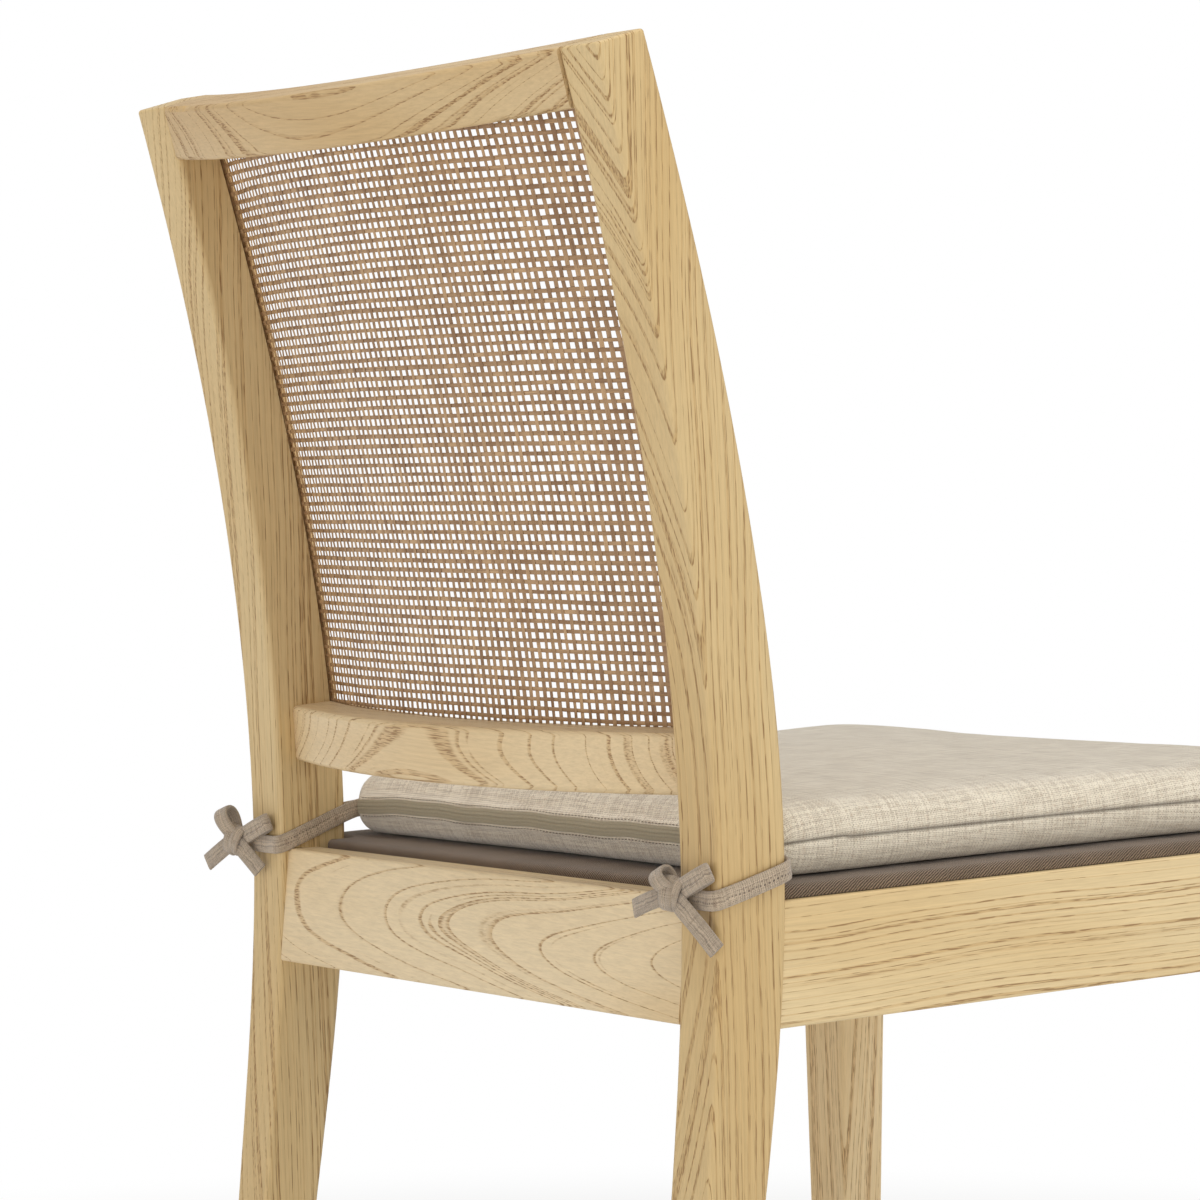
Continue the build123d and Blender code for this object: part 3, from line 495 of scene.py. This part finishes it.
# Upholstered seat: thin foam on the board under a dark woven cloth, pulled down over the board's
# edge and notched round the back posts. The cushion hides its middle, so it is flat there.
def rounded_outline(corners, radius, spacing, arc_steps=6):
    """Points round a polygon, its corners arcs of the radius: straight runs at the spacing, then the
    arc, where the heading turns evenly and the point stays one radius from the arc's centre. Also
    gives the outward normals, and how far between two corners each point is, from 0 to 1."""
    corners = np.array(corners, float)
    ahead = np.roll(corners, -1, 0) - corners
    ahead = ahead / np.linalg.norm(ahead, axis=1)[:, None]
    behind = np.roll(ahead, 1, 0)
    turns = np.arctan2(behind[:, 0] * ahead[:, 1] - behind[:, 1] * ahead[:, 0], (behind * ahead).sum(1))
    cuts = radius * np.abs(np.tan(turns / 2))
    spots, normals, between = [], [], []
    for n in range(len(corners)):
        m = (n + 1) % len(corners)
        headings = math.atan2(behind[n, 1], behind[n, 0]) + turns[n] * np.linspace(0, 1, arc_steps + 1)
        left = np.stack([-np.sin(headings), np.cos(headings)], -1)
        side = math.copysign(radius, turns[n])
        centre = corners[n] - behind[n] * cuts[n] + side * left[0]
        spots.append(centre - side * left)
        normals.append(-left)
        between.append(np.zeros(arc_steps + 1))
        start = corners[n] + ahead[n] * cuts[n]
        stop = corners[m] - ahead[n] * cuts[m]
        count = max(2, int(np.linalg.norm(stop - start) / spacing))
        share = np.arange(1, count) / count
        spots.append(start + share[:, None] * (stop - start))
        normals.append(np.repeat(-left[-1:], count - 1, 0))
        between.append(share)
    return np.concatenate(spots), np.concatenate(normals), np.concatenate(between)


pad_height = 8.0 * mm
pad_corners = [(-0.183, 0.017), (-0.183, -0.0035), (-0.214, -0.0035), (-0.235, -0.444)]
pad_corners = pad_corners + [(-x, back) for x, back in pad_corners[::-1]]
spots, normals, between = rounded_outline(pad_corners, 2.6 * mm, 5 * mm)
pad_middle = np.array([0.0, -0.20])
# Rings from the underside's middle, out to the edge, up and over it, and back to the middle.
edge = np.radians([0, 25, 50, 70, 90])
edge_inset = np.concatenate([[0.6, 0.0, 0.0], 3.4 * (1 - np.cos(edge))]) * mm
edge_height = np.concatenate([[0.0, 0.5, 2.5], 4.4 + 3.4 * np.sin(edge)]) * mm
inner = np.linspace(0.02, 0.96, 14)
under = pad_middle + inner[:, None, None] * (spots - 0.6 * mm * normals - pad_middle)
rim = spots[None] - edge_inset[:, None, None] * normals[None]
upper = pad_middle + inner[::-1, None, None] * (rim[-1] - pad_middle)
pad_flat = np.concatenate([under, rim, upper])
dimple = 0.25 * mm * np.sin(np.arange(len(spots)) * 0.55) * np.sin(np.arange(len(spots)) * 0.231)
level = np.concatenate([np.zeros(14), edge_height, np.full(14, edge_height[-1])])
pad_up = level[:, None] + np.where((level > 4 * mm)[:, None], dimple[None] - 0.25 * mm, 0)
pad_rings = on_seat(pad_flat[..., 0], pad_flat[..., 1], np.clip(pad_up, 0.05 * mm, pad_height))
seat_pad = skin("seat_pad", pad_rings[None])
lay_map(seat_pad, pad_flat)

seat_cloth, tree, shader = finish_of("seat_cloth")
place = put(tree, "TexCoord").outputs["Object"]
twill = vector(tree, "DOT_PRODUCT", place, (4200.0, 2600.0, 3400.0))
wobble = noise(tree, place, (300, 300, 300), 4.0)
rib = calc(tree, "SINE", calc(tree, "ADD", twill, calc(tree, "MULTIPLY", wobble, 7.0)))
lint = noise(tree, place, (1500, 1500, 1500), 8.0, detail=3.0)
cloud = noise(tree, place, (40, 40, 40), 1.0)
ground = mixed(tree, step(tree, rib, -0.8, 0.9), (0.055, 0.034, 0.020, 1), (0.27, 0.19, 0.125, 1))
shade = calc(tree, "MULTIPLY_ADD", calc(tree, "ADD", lint, cloud), 0.55, 0.45)
tone = put(tree, "CombineColor", {0: shade, 1: shade, 2: shade}).outputs[0]
tree.links.new(mixed(tree, 1.0, ground, tone, "MULTIPLY"), shader.inputs["Base Color"])
shader.inputs["Roughness"].default_value = 0.95
shader.inputs["Sheen Weight"].default_value = 0.25
relief = put(tree, "Bump", {"Height": rib, "Distance": 0.0003, "Strength": 0.6})
tree.links.new(relief.outputs[0], shader.inputs["Normal"])
seat_pad.data.materials.append(seat_cloth)
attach(seat_pad, "chair")
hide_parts("seat_cover", "seat_foam")


# Loose cushion: a soft foam core in a linen cover of two panels, sewn together half way up its sides
# and front, and closed by a zip across the rear. Its cover is blown up as cloth and then seamed.
cushion_bottom = 8.4 * mm
cushion_half = 19.0 * mm        # half its thickness at the edge
cushion_crown = 3.0 * mm
cushion_corners = [(-0.200, -0.008), (-0.222, -0.432), (0.222, -0.432), (0.200, -0.008)]
zip_half = 184 * mm
zip_plane = -8.2 * mm
mid_level = cushion_bottom + cushion_half
seam_depth = 1.7 * mm
seam_width = 1.0 * mm
tie_reach = 0.030              # how far from a rear corner its tie still pulls the top down
tie_pull_right, tie_pull_left = 3.4 * mm, 1.4 * mm
zip_hold = 8.5 * mm             # up to this height over and under the zip its tape holds the side flat
pull_in = 2.5 * mm              # how far the sides stand in between the corners
cushion_corner = 18.0 * mm
cushion_inset = 15.5 * mm       # how far the top edge stands in; less than the corner, or the rings cross

spots, normals, between = rounded_outline(cushion_corners, cushion_corner, 5.5 * mm, 9)
at_rear = np.clip((spots[:, 1] + 0.020) / 0.008, 0, 1)
at_rear = at_rear * np.clip((0.190 - np.abs(spots[:, 0])) / 0.006, 0, 1)
waist = pull_in * np.sin(math.pi * between) ** 2 * (1 - at_rear)
spots = spots - waist[:, None] * normals
turn = np.linspace(-1, 1, 29)
angle = np.sign(turn) * (math.pi / 2) * np.abs(turn) ** 1.55
rim_inset = cushion_inset * (1 - np.abs(np.cos(angle)) ** 0.85)
rim_level = cushion_half * np.sign(angle) * np.abs(np.sin(angle)) ** 0.9
rim = spots[None] - rim_inset[:, None, None] * normals[None]
cushion_middle = np.array([0.0, -0.215])
top_rings = 24
inner = np.linspace(0.01, 0.97, top_rings)
under = cushion_middle + inner[:, None, None] * (rim[0] - cushion_middle)
upper = cushion_middle + inner[::-1, None, None] * (rim[-1] - cushion_middle)
cushion_flat = np.concatenate([under, rim, upper])
level = [np.full(top_rings, -cushion_half), rim_level, np.full(top_rings, cushion_half)]
level = np.concatenate(level)[:, None]
# The top's dome is a product of two parabolas, one across and one along, so it has no creases.
dome = (1 - (cushion_flat[..., 0] / 0.222) ** 2) * (1 - ((cushion_flat[..., 1] + 0.220) / 0.212) ** 2)
rise = level + cushion_crown * np.clip(dome, 0, 1) * np.clip(level / cushion_half, 0, 1)
cushion_rings = on_seat(cushion_flat[..., 0], cushion_flat[..., 1], mid_level + rise)
cushion = skin("cushion", cushion_rings[None], sharp=180)
# The cloth's own places: a panel's plan, carried on down the side by the length of the arc from its rim.
arc = np.concatenate([[0], np.cumsum(np.hypot(np.diff(rim_inset), np.diff(rim_level)))])
drop = np.minimum(arc, arc[-1] - arc)
fall = np.concatenate([np.zeros(top_rings), drop, np.zeros(top_rings)])
plan = np.concatenate([under, np.repeat(rim[-1:], len(rim), 0), upper])
weave_places = plan + fall[:, None, None] * normals[None]
lay_map(cushion, weave_places)


def vertex_places(mesh):
    """The places of a mesh's vertices, as one array."""
    places = np.zeros(len(mesh.vertices) * 3, np.float32)
    mesh.vertices.foreach_get("co", places)
    return places.reshape(-1, 3).astype(float)


def blow_up(piece, voxel, pressure, frames, cap):
    """Remeshes a copy of the piece evenly, swells it as cloth under inner pressure and without weight,
    limits each point's travel to the cap, and moves each vertex of the piece by the mean travel near it,
    weighted by a bell curve of distance."""
    bag = bpy.data.objects.new("bag", piece.data.copy())
    bpy.context.scene.collection.objects.link(bag)
    remesh = bag.modifiers.new("remesh", "REMESH")
    remesh.mode = "VOXEL"
    remesh.voxel_size = voxel
    graph = bpy.context.evaluated_depsgraph_get()
    even = bpy.data.meshes.new_from_object(bag.evaluated_get(graph))
    bag.modifiers.clear()
    bag.data = even
    rest = vertex_places(even)
    cloth = bag.modifiers.new("cloth", "CLOTH")
    cloth.settings.quality = 6
    cloth.settings.tension_stiffness = 12
    cloth.settings.compression_stiffness = 12
    cloth.settings.bending_stiffness = 0.8
    cloth.settings.use_pressure = True
    cloth.settings.uniform_pressure_force = pressure
    cloth.settings.effector_weights.gravity = 0
    cloth.point_cache.frame_end = frames
    for number in range(1, frames + 1):
        bpy.context.scene.frame_set(number)
    graph = bpy.context.evaluated_depsgraph_get()
    moved = vertex_places(bag.evaluated_get(graph).data)
    bag.modifiers.clear()
    travel = moved - rest
    distance = np.linalg.norm(travel, axis=1)[:, None]
    travel = travel * np.minimum(1, cap / np.maximum(distance, 1e-9))
    bpy.data.objects.remove(bag)
    bpy.context.scene.frame_set(1)
    near = KDTree(len(rest))
    for number, place in enumerate(rest):
        near.insert(place, number)
    near.balance()
    places = vertex_places(piece.data)
    carried = np.zeros_like(places)
    for number, place in enumerate(places):
        found = near.find_n(place, 24)
        members = [m for _, m, _ in found]
        weights = np.exp(-(np.array([gap for _, _, gap in found]) / (1.6 * voxel)) ** 2)
        carried[number] = (travel[members] * weights[:, None]).sum(0) / weights.sum()
    return places + carried


rings_total, points_total = cushion_rings.shape[:2]
soft_places = cushion_rings.reshape(-1, 3)
soft_places = blow_up(cushion, voxel=6 * mm, pressure=4.0, frames=20, cap=2.5 * mm)
offset = soft_places - seat_pivot
x = offset[:, 0].reshape(rings_total, points_total)
back = (offset @ seat_back).reshape(rings_total, points_total)
up = (offset @ seat_up).reshape(rings_total, points_total)
height = up - mid_level
# The seam draws a thin line in; the zip's tape holds the rear side straight; the board holds it up.
stitch_wave = 0.9 * mm * np.sin(x * 210) * np.exp(-((np.abs(x) - 0.196) / 0.035) ** 2) * (back > -0.06)
height_from_seam = height - stitch_wave
row_normals = np.broadcast_to(normals[None], (rings_total, points_total, 2))
on_rim = np.zeros((rings_total, 1))
on_rim[top_rings:top_rings + len(rim)] = 1
groove = seam_depth * np.exp(-(height_from_seam / seam_width) ** 2) * (1 - at_rear[None]) * on_rim
x = x - groove * row_normals[..., 0]
back = back - groove * row_normals[..., 1]
held = at_rear[None] * on_rim * np.clip((zip_hold - np.abs(height)) / (3 * mm), 0, 1)
back = back * (1 - held) + zip_plane * held
# The ties pull the rear corners down, the right one further.
corner = np.exp(-(((np.abs(x) - 0.200) / tie_reach) ** 2) - ((back + 0.008) / tie_reach) ** 2)
pull = corner * np.where(x > 0, tie_pull_right, tie_pull_left)
up = up - pull * np.clip((up - cushion_bottom) / cushion_half, 0, 1)
hollow = 0.8 * mm * np.sin(x * 23 + 1.1) * np.sin(back * 19 + 0.6)
up = np.where(up > mid_level + 12 * mm, up + hollow, up)
up = np.maximum(up, cushion_bottom)
cushion_places = on_seat(x, back, up)
cushion.data.vertices.foreach_set("co", cushion_places.ravel().astype(np.float32))
# Painted shade along the seam: a thin dark line in the seam's groove, which the cover's paint mixes into its
# colour.
seam_painted_shade = cushion.data.attributes.new("seam_painted_shade", "FLOAT", "POINT")
seam_shade = np.exp(-(height_from_seam / (0.9 * mm)) ** 2) * (1 - at_rear[None]) * on_rim
seam_painted_shade.data.foreach_set("value", seam_shade.ravel().astype(np.float32))


def weave_paint(name, map_name, thread, pale, dark, warmth, slub=0.5, relief_depth=0.35, seam=False):
    """Plain-weave cloth: two sets of threads, a sine of the map's place over the thread gap each, laid
    over and under by turns, with long noise along each set for the slubs."""
    material, tree, shader = finish_of(name)
    woven = put(tree, "UVMap", uv_map=map_name).outputs[0]
    bend = vector(tree, "SUBTRACT", noise(tree, woven, (160, 160, 1), 3.0, output=1), (0.5, 0.5, 0.5))
    swayed = put(tree, "VectorMath", {0: bend, 1: (0.0009,) * 3, 2: woven}, operation="MULTIPLY_ADD")
    woven = swayed.outputs[0]
    parts = put(tree, "SeparateXYZ", {0: woven}).outputs
    turns = [calc(tree, "MULTIPLY", part, math.pi / thread) for part in parts[:2]]
    warp = calc(tree, "ABSOLUTE", calc(tree, "SINE", turns[0]))
    weft = calc(tree, "ABSOLUTE", calc(tree, "SINE", turns[1]))
    over = calc(tree, "MULTIPLY", calc(tree, "COSINE", turns[0]), calc(tree, "COSINE", turns[1]))
    over = step(tree, over, -0.35, 0.35)
    lengthways = noise(tree, woven, (1 / (1.6 * thread), 38, 1), 1.0, detail=2.0)
    crossways = noise(tree, woven, (38, 1 / (1.6 * thread), 1), 5.0, detail=2.0)
    thick = put(tree, "Mix", {0: over, 2: crossways, 3: lengthways}).outputs[0]
    ridge = put(tree, "Mix", {0: over, 2: weft, 3: warp}).outputs[0]
    lint = noise(tree, woven, (2600, 2600, 1), 9.0, detail=2.0)
    cloud = noise(tree, woven, (28, 28, 1), 2.0, detail=2.0)
    shade = calc(tree, "MULTIPLY_ADD", step(tree, thick, 0.5 - slub * 0.35, 0.5 + slub * 0.35), 0.55, 0.0)
    shade = calc(tree, "ADD", shade, calc(tree, "MULTIPLY_ADD", ridge, 0.70, -0.04))
    shade = calc(tree, "ADD", shade, calc(tree, "MULTIPLY_ADD", lint, 0.50, -0.24))
    shade = calc(tree, "ADD", shade, calc(tree, "MULTIPLY_ADD", cloud, 0.24, -0.10))
    ground = mixed(tree, calc(tree, "MINIMUM", calc(tree, "MAXIMUM", shade, 0.0), 1.0), dark, pale)
    fleck = step(tree, noise(tree, woven, (420, 420, 1), 12.0, detail=2.0), 0.55, 0.70)
    colour = mixed(tree, calc(tree, "MULTIPLY", fleck, 0.35), ground, warmth)
    # The seam option paints shade: the colour darkens along the seam's line, standing in for the shade in
    # its groove.
    if seam:
        seam_shade = put(tree, "Attribute", attribute_name="seam_painted_shade").outputs["Fac"]
        colour = mixed(tree, calc(tree, "MULTIPLY", seam_shade, 0.78), colour, (0.10, 0.075, 0.05, 1))
    tree.links.new(colour, shader.inputs["Base Color"])
    shader.inputs["Roughness"].default_value = 0.92
    shader.inputs["Specular IOR Level"].default_value = 0.2
    shader.inputs["Sheen Weight"].default_value = 0.6
    relief_height = calc(tree, "ADD", ridge, calc(tree, "MULTIPLY", thick, 0.9))
    relief = put(tree, "Bump", {"Height": relief_height, "Distance": relief_depth * mm, "Strength": 0.8})
    tree.links.new(relief.outputs[0], shader.inputs["Normal"])
    return material


linen = weave_paint(
    "linen", "weave", 1.05 * mm, pale=(0.97, 0.89, 0.73, 1), dark=(0.27, 0.18, 0.10, 1),
    warmth=(0.48, 0.32, 0.19, 1), seam=True,
)
cushion.data.materials.append(linen)
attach(cushion, "chair")
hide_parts("cushion_cover", "cushion_foam")


# Zip: an olive taupe tape across the cushion's rear, folded over the closed teeth in two soft lips,
# and sewn to both panels by a row of stitches along each edge.
def zip_stray(x):
    """How far the zip's line strays from level: two small sines, and a bell-shaped dip at each corner,
    deeper where the tie is pulled harder."""
    ripple = 0.35 * mm * np.sin(x * 61 + 0.8) + 0.25 * mm * np.sin(x * 143)
    right_dip = 3.0 * mm * np.exp(-(((x - 0.200) / 0.030) ** 2))
    left_dip = 1.2 * mm * np.exp(-(((x + 0.200) / 0.030) ** 2))
    return ripple - right_dip - left_dip


tape_height = 8.5 * mm
steps = 185
x = np.linspace(-zip_half, zip_half, steps)[:, None]
# The section is the same above and below its middle: height from there, and how far the cloth stands out.
upper_height = np.array([0.5, 1.2, 1.9, 2.3, 2.7, 3.3, 4.0, 4.25])
upper_out = np.array([0.86, 0.92, 0.62, 0.40, 0.62, 0.42, 0.35, 0.15])
ridge_height = np.concatenate([-upper_height[::-1], [0.0], upper_height])
ridge_out = np.concatenate([upper_out[::-1], [0.36], upper_out])
section_up = np.concatenate([ridge_height, ridge_height[::-1] * 0.98]) * mm
section_out = np.concatenate([ridge_out, np.full(17, -0.15)]) * mm
zip_rings = on_seat(x, -8.0 * mm + section_out[None], mid_level + section_up[None] + zip_stray(x))
zip_lengths = np.linspace(0, 2 * zip_half, steps)
zip_tape = skin("zip_tape_folded", zip_rings[None], zip_lengths, np.linspace(0, 2 * tape_height, 35))
zip_cloth, tree, shader = finish_of("zip_cloth")
woven = put(tree, "UVMap", uv_map="weave").outputs[0]
waves = put(tree, "TexWave", {"Vector": woven, "Scale": 480.0, "Distortion": 1.5}, bands_direction="X")
herring = waves.outputs[0]
lint = noise(tree, woven, (900, 900, 1), 2.0, detail=3.0)
grain_mix = calc(tree, "MULTIPLY_ADD", herring, 0.35, calc(tree, "MULTIPLY", lint, 0.6))
colour = mixed(tree, grain_mix, (0.27, 0.235, 0.165, 1), (0.50, 0.445, 0.33, 1))
tree.links.new(colour, shader.inputs["Base Color"])
shader.inputs["Roughness"].default_value = 0.85
relief = put(tree, "Bump", {"Height": herring, "Distance": 0.0001, "Strength": 0.5})
tree.links.new(relief.outputs[0], shader.inputs["Normal"])
zip_tape.data.materials.append(zip_cloth)
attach(zip_tape, "chair")
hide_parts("zip_tape")

# Stitches beside the zip: short ends of brown thread that lie on the cover, one every 3 mm.
stitch_gap = 3.0 * mm
stitch_length = 2.0 * mm
thread_radius = 0.28 * mm
centres = np.arange(-zip_half + 3 * mm, zip_half - 2 * mm, stitch_gap)
centres = np.concatenate([centres, centres])
row_level = np.where(np.arange(len(centres)) < len(centres) // 2, 1.0, -1.0) * (tape_height / 2 + 1.3 * mm)
share = np.linspace(-1, 1, 5)
round_turn = np.linspace(0, 2 * math.pi, 6, endpoint=False)
swell = thread_radius * np.sqrt(np.clip(1 - np.abs(share) ** 3, 0.02, 1))
stitch_x = centres[:, None, None] + share[None, :, None] * stitch_length / 2 + 0 * round_turn[None, None, :]
stitch_up = (row_level + zip_stray(centres))[:, None, None] + swell[None, :, None] * np.cos(round_turn)
stitch_out = swell[None, :, None] * np.sin(round_turn) + 0 * stitch_x
stitches = skin("zip_stitches", on_seat(stitch_x, zip_plane + 0.1 * mm + stitch_out, mid_level + stitch_up))
thread, tree, shader = finish_of("thread")
place = put(tree, "TexCoord").outputs["Object"]
twist = noise(tree, place, (2500, 900, 2500), 1.0)
colour = mixed(tree, twist, (0.085, 0.055, 0.035, 1), (0.22, 0.16, 0.11, 1))
tree.links.new(colour, shader.inputs["Base Color"])
shader.inputs["Roughness"].default_value = 0.7
stitches.data.materials.append(thread)
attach(stitches, "chair")

# Zip slider and pull, of antique brass: cast pieces, so the CAD forms stay and take a cast finish.
brass, tree, shader = finish_of("brass")
place = put(tree, "TexCoord").outputs["Object"]
tarnish = noise(tree, place, (500, 500, 500), 2.0, detail=4.0)
colour = mixed(tree, tarnish, (0.075, 0.050, 0.024, 1), (0.30, 0.215, 0.105, 1))
tree.links.new(colour, shader.inputs["Base Color"])
tree.links.new(calc(tree, "MULTIPLY_ADD", tarnish, 0.35, 0.22), shader.inputs["Roughness"])
shader.inputs["Metallic"].default_value = 1.0
for node in ("zip_slider", "zip_pull"):
    nodes[node].data.materials.clear()
    nodes[node].data.materials.append(brass)


# Ties: flat tapes of folded taupe cloth, sewn shut along the middle, their ends caught in the
# cushion's rear corners. Each pair goes round its post, inside and outside, and is knotted behind it.
tape_width = 10.6 * mm
tape_thick = 2.1 * mm


def smooth_path(points, steps):
    """Catmull-Rom curve through the points: on each span, the cubic whose slopes at its two ends are
    half the step between the neighbours on either side."""
    points = np.array(points, float)
    points = np.concatenate([2 * points[:1] - points[1:2], points, 2 * points[-1:] - points[-2:-1]])
    place = np.linspace(0, len(points) - 3 - 1e-6, steps)
    span = place.astype(int)
    t = (place - span)[:, None]
    a, b, c, d = (points[span + n] for n in range(4))
    square = (2 * a - 5 * b + 4 * c - d) * t ** 2
    cube = (3 * b - a - 3 * c + d) * t ** 3
    return 0.5 * (2 * b + (c - a) * t + square + cube)


def tape_rings(path, facing, width=tape_width, thick=tape_thick, points=22):
    """Rings of a folded tape along a path. Facing is the flat side's outward direction at each ring,
    squared to the path. The section is a flat rounded bar, pressed in where it is sewn."""
    path = np.array(path, float)
    tangent = np.gradient(path, axis=0)
    tangent /= np.linalg.norm(tangent, axis=1)[:, None]
    facing = np.broadcast_to(np.array(facing, float), path.shape)
    facing = facing - (facing * tangent).sum(1)[:, None] * tangent
    facing = facing / np.linalg.norm(facing, axis=1)[:, None]
    side = np.cross(tangent, facing)
    turn = np.linspace(0, 2 * math.pi, points, endpoint=False)
    across = width / 2 * np.sign(np.cos(turn)) * np.abs(np.cos(turn)) ** 0.55
    press = 1 - 0.55 * np.exp(-((across / (0.11 * width)) ** 2))
    out = thick / 2 * np.sign(np.sin(turn)) * np.abs(np.sin(turn)) ** 0.6 * press
    return path[:, None] + across[None, :, None] * side[:, None] + out[None, :, None] * facing[:, None]


def loop_path(knot, reach, width_way, belly, steps):
    """One loop of a bow, a teardrop: sin(pi s) of the reach out from the knot, and sin(2 pi s) of the
    belly to each side, square to the reach and to the tape's width. Gives the path and its facing."""
    reach = np.array(reach, float)
    width_way = np.array(width_way, float)
    width_way = width_way - (width_way @ reach) / (reach @ reach) * reach
    outward = np.cross(width_way, reach)
    outward /= np.linalg.norm(outward)
    s = np.linspace(0, 1, steps)[:, None]
    path = np.array(knot) + np.sin(math.pi * s) * reach + belly * np.sin(2 * math.pi * s) * outward
    tangent = np.gradient(path, axis=0)
    facing = np.cross(width_way / np.linalg.norm(width_way), tangent)
    return path, facing


tie_cloth = weave_paint(
    "tie_cloth", "weave", 0.62 * mm, pale=(0.62, 0.49, 0.35, 1), dark=(0.060, 0.038, 0.024, 1),
    warmth=(0.22, 0.13, 0.085, 1), slub=0.7, relief_depth=0.25,
)
ring_steps = 56


def tie_piece(name, shapes):
    """Tubes of tape as one piece of tie cloth, that rides with the chair."""
    lengths = np.linspace(0, 0.075, shapes.shape[1])
    piece = skin(name, shapes, lengths, np.linspace(0, 2 * tape_width, shapes.shape[2] + 1))
    piece.data.materials.append(tie_cloth)
    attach(piece, "chair")
    return piece


def strap(points, facings):
    """One strap of a tie, in millimetres: a smooth path through its points, and its facing likewise."""
    path = smooth_path(np.array(points) * mm, ring_steps)
    return tape_rings(path, smooth_path(facings, ring_steps))


# Where each tie goes: from the cushion's rear corner along both sides of the post to its rear face.
inner_right = strap(
    [(182, 127, 452.5), (185.6, 139, 450.8), (186.7, 150, 447.6), (186.8, 172, 439.5), (186.8, 191, 432.6),
     (189.5, 197.6, 430.6), (200, 198.0, 430.4), (214, 199.5, 430.8)],
    [(-1, 0.3, 0), (-1, 0.2, 0), (-1, 0, 0), (-1, 0, 0), (-1, 0.1, 0), (-0.6, 0.8, 0), (0, 1, 0), (0, 1, 0)],
)
outer_right = strap(
    [(188, 131, 451), (203, 144.2, 447), (216, 146.4, 444.6), (221.8, 150.5, 443), (221.9, 172, 437),
     (221.9, 190, 432.2), (221.6, 196, 431.2), (219, 201, 431)],
    [(0.2, -1, 0), (0, -1, 0), (0.3, -0.9, 0), (1, -0.2, 0), (1, 0, 0), (1, 0, 0), (1, 0.4, 0),
     (0.6, 0.8, 0)],
)
tie_right = tie_piece("tie_right", np.stack([inner_right, outer_right]))
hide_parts("tie_band_right")

inner_left = strap(
    [(-182, 127, 452.5), (-185.6, 139, 450.8), (-186.7, 150, 447.6), (-186.8, 172, 439.5),
     (-186.8, 190, 433.0), (-187.0, 195, 431.4), (-189.0, 200, 430.8), (-193, 202, 430.8)],
    [(1, 0.3, 0), (1, 0.2, 0), (1, 0, 0), (1, 0, 0), (1, 0.1, 0), (1, 0.3, 0), (0.6, 0.8, 0), (0.2, 1, 0)],
)
outer_left = strap(
    [(-188, 131, 451), (-204, 144.4, 447), (-217.0, 146.3, 443.8), (-221.9, 150.2, 441.6),
     (-222.0, 170, 435.8), (-222.0, 190, 430.6), (-219.4, 197.6, 428.6), (-208, 198.6, 428.4),
     (-198, 200.5, 429.6)],
    [(-0.2, -1, 0), (0, -1, 0), (-0.4, -0.9, 0), (-1, -0.2, 0), (-1, 0, 0), (-1, 0.1, 0),
     (-0.6, 0.8, 0), (0, 1, 0), (0, 1, 0)],
)
tie_left = tie_piece("tie_left", np.stack([inner_left, outer_left]))
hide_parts("tie_band_left")


# Bows: two loops and two tails of the same tape, held by a knot that is wound round their middle.
# Across, up and out are the bow's own ways: out stands off the post towards the rear and the middle.
def bow(name, knot, slant, loops, tails, wraps):
    """A bow at the knot. Its across way is turned by the slant from the post's rear face. A loop is a
    reach, a width way and a belly; a tail is a list of places; a wrap is a shift and a lean."""
    turn = math.radians(slant)
    cosine, sine = math.cos(turn), math.sin(turn)
    ways = np.array([[-cosine, -sine, 0], [0, 0, 1], [-sine, cosine, 0]])
    centre = np.array(knot) * mm
    shapes = []
    for reach, width_way, belly in loops:
        reach, width_way = np.array(reach) @ ways * mm, np.array(width_way) @ ways
        path, facing = loop_path(centre, reach, width_way, belly * mm, ring_steps)
        shapes.append(tape_rings(path, facing))
    for points, facing in tails:
        path = smooth_path(centre + np.array(points) @ ways * mm, ring_steps)
        shapes.append(tape_rings(path, np.array(facing) @ ways))
    for shift, lean, high, deep, width in wraps:
        s = np.linspace(0, 2 * math.pi, ring_steps)[:, None]
        up_way = np.array([math.sin(lean), math.cos(lean), 0])
        ring = np.array(shift) + high * np.cos(s) * up_way + deep * np.sin(s) * np.array([0, 0, 1])
        facing = np.cos(s) / high * up_way + np.sin(s) / deep * np.array([0, 0, 1])
        shapes.append(tape_rings(centre + ring @ ways * mm, facing @ ways, width * mm, 2.4 * mm))
    return tie_piece(name, np.stack(shapes))


bow_right = bow(
    "bow_right", (220.5, 205.0, 431.8), 14,
    loops=[((-7.5, 18.5, 5.0), (0.93, 0.36, -0.02), 5.2), ((26.5, 12.4, 1.6), (-0.42, 0.90, 0.05), 2.6)],
    tails=[
        ([(0, 0, 0.5), (-6.5, -3.5, 2), (-15.5, -9.5, 2.2), (-24, -14.8, 1.0)], (0.1, 0.1, 1)),
        ([(0, 0, 1.5), (4.5, -3.0, 3.4), (11, -9.5, 2.2), (18.5, -17.5, 0.4)], (0.05, 0.05, 1)),
    ],
    wraps=[((-3.0, 0.3, 0.8), 0.30, 8.4, 4.3, 7.6), ((2.2, -0.2, 1.2), 0.42, 8.0, 4.4, 6.8)],
)
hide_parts("tie_bow_right")

bow_left = bow(
    "bow_left", (-196.5, 205.0, 431.2), 12,
    loops=[((-7.2, 12.0, 5.7), (0.89, 0.45, 0.09), 4.7), ((24.0, 12.6, 1.6), (-0.46, 0.88, 0.05), 2.6)],
    tails=[
        ([(0, 0, 0.5), (-7.5, -2.0, 2.2), (-17, -5.4, 2.2), (-26.5, -9.4, 1.0)], (0.1, 0.3, 1)),
        ([(0, 0, 1.2), (6, -5.5, 3.0), (16.5, -16.0, 1.6), (27.5, -28.0, -0.4)], (0.05, 0.05, 1)),
    ],
    wraps=[((-2.2, 0.2, 1.0), 0.12, 8.4, 4.6, 8.6), ((2.4, -0.4, 0.6), 0.32, 7.8, 4.2, 6.6)],
)
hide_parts("tie_bow_left")
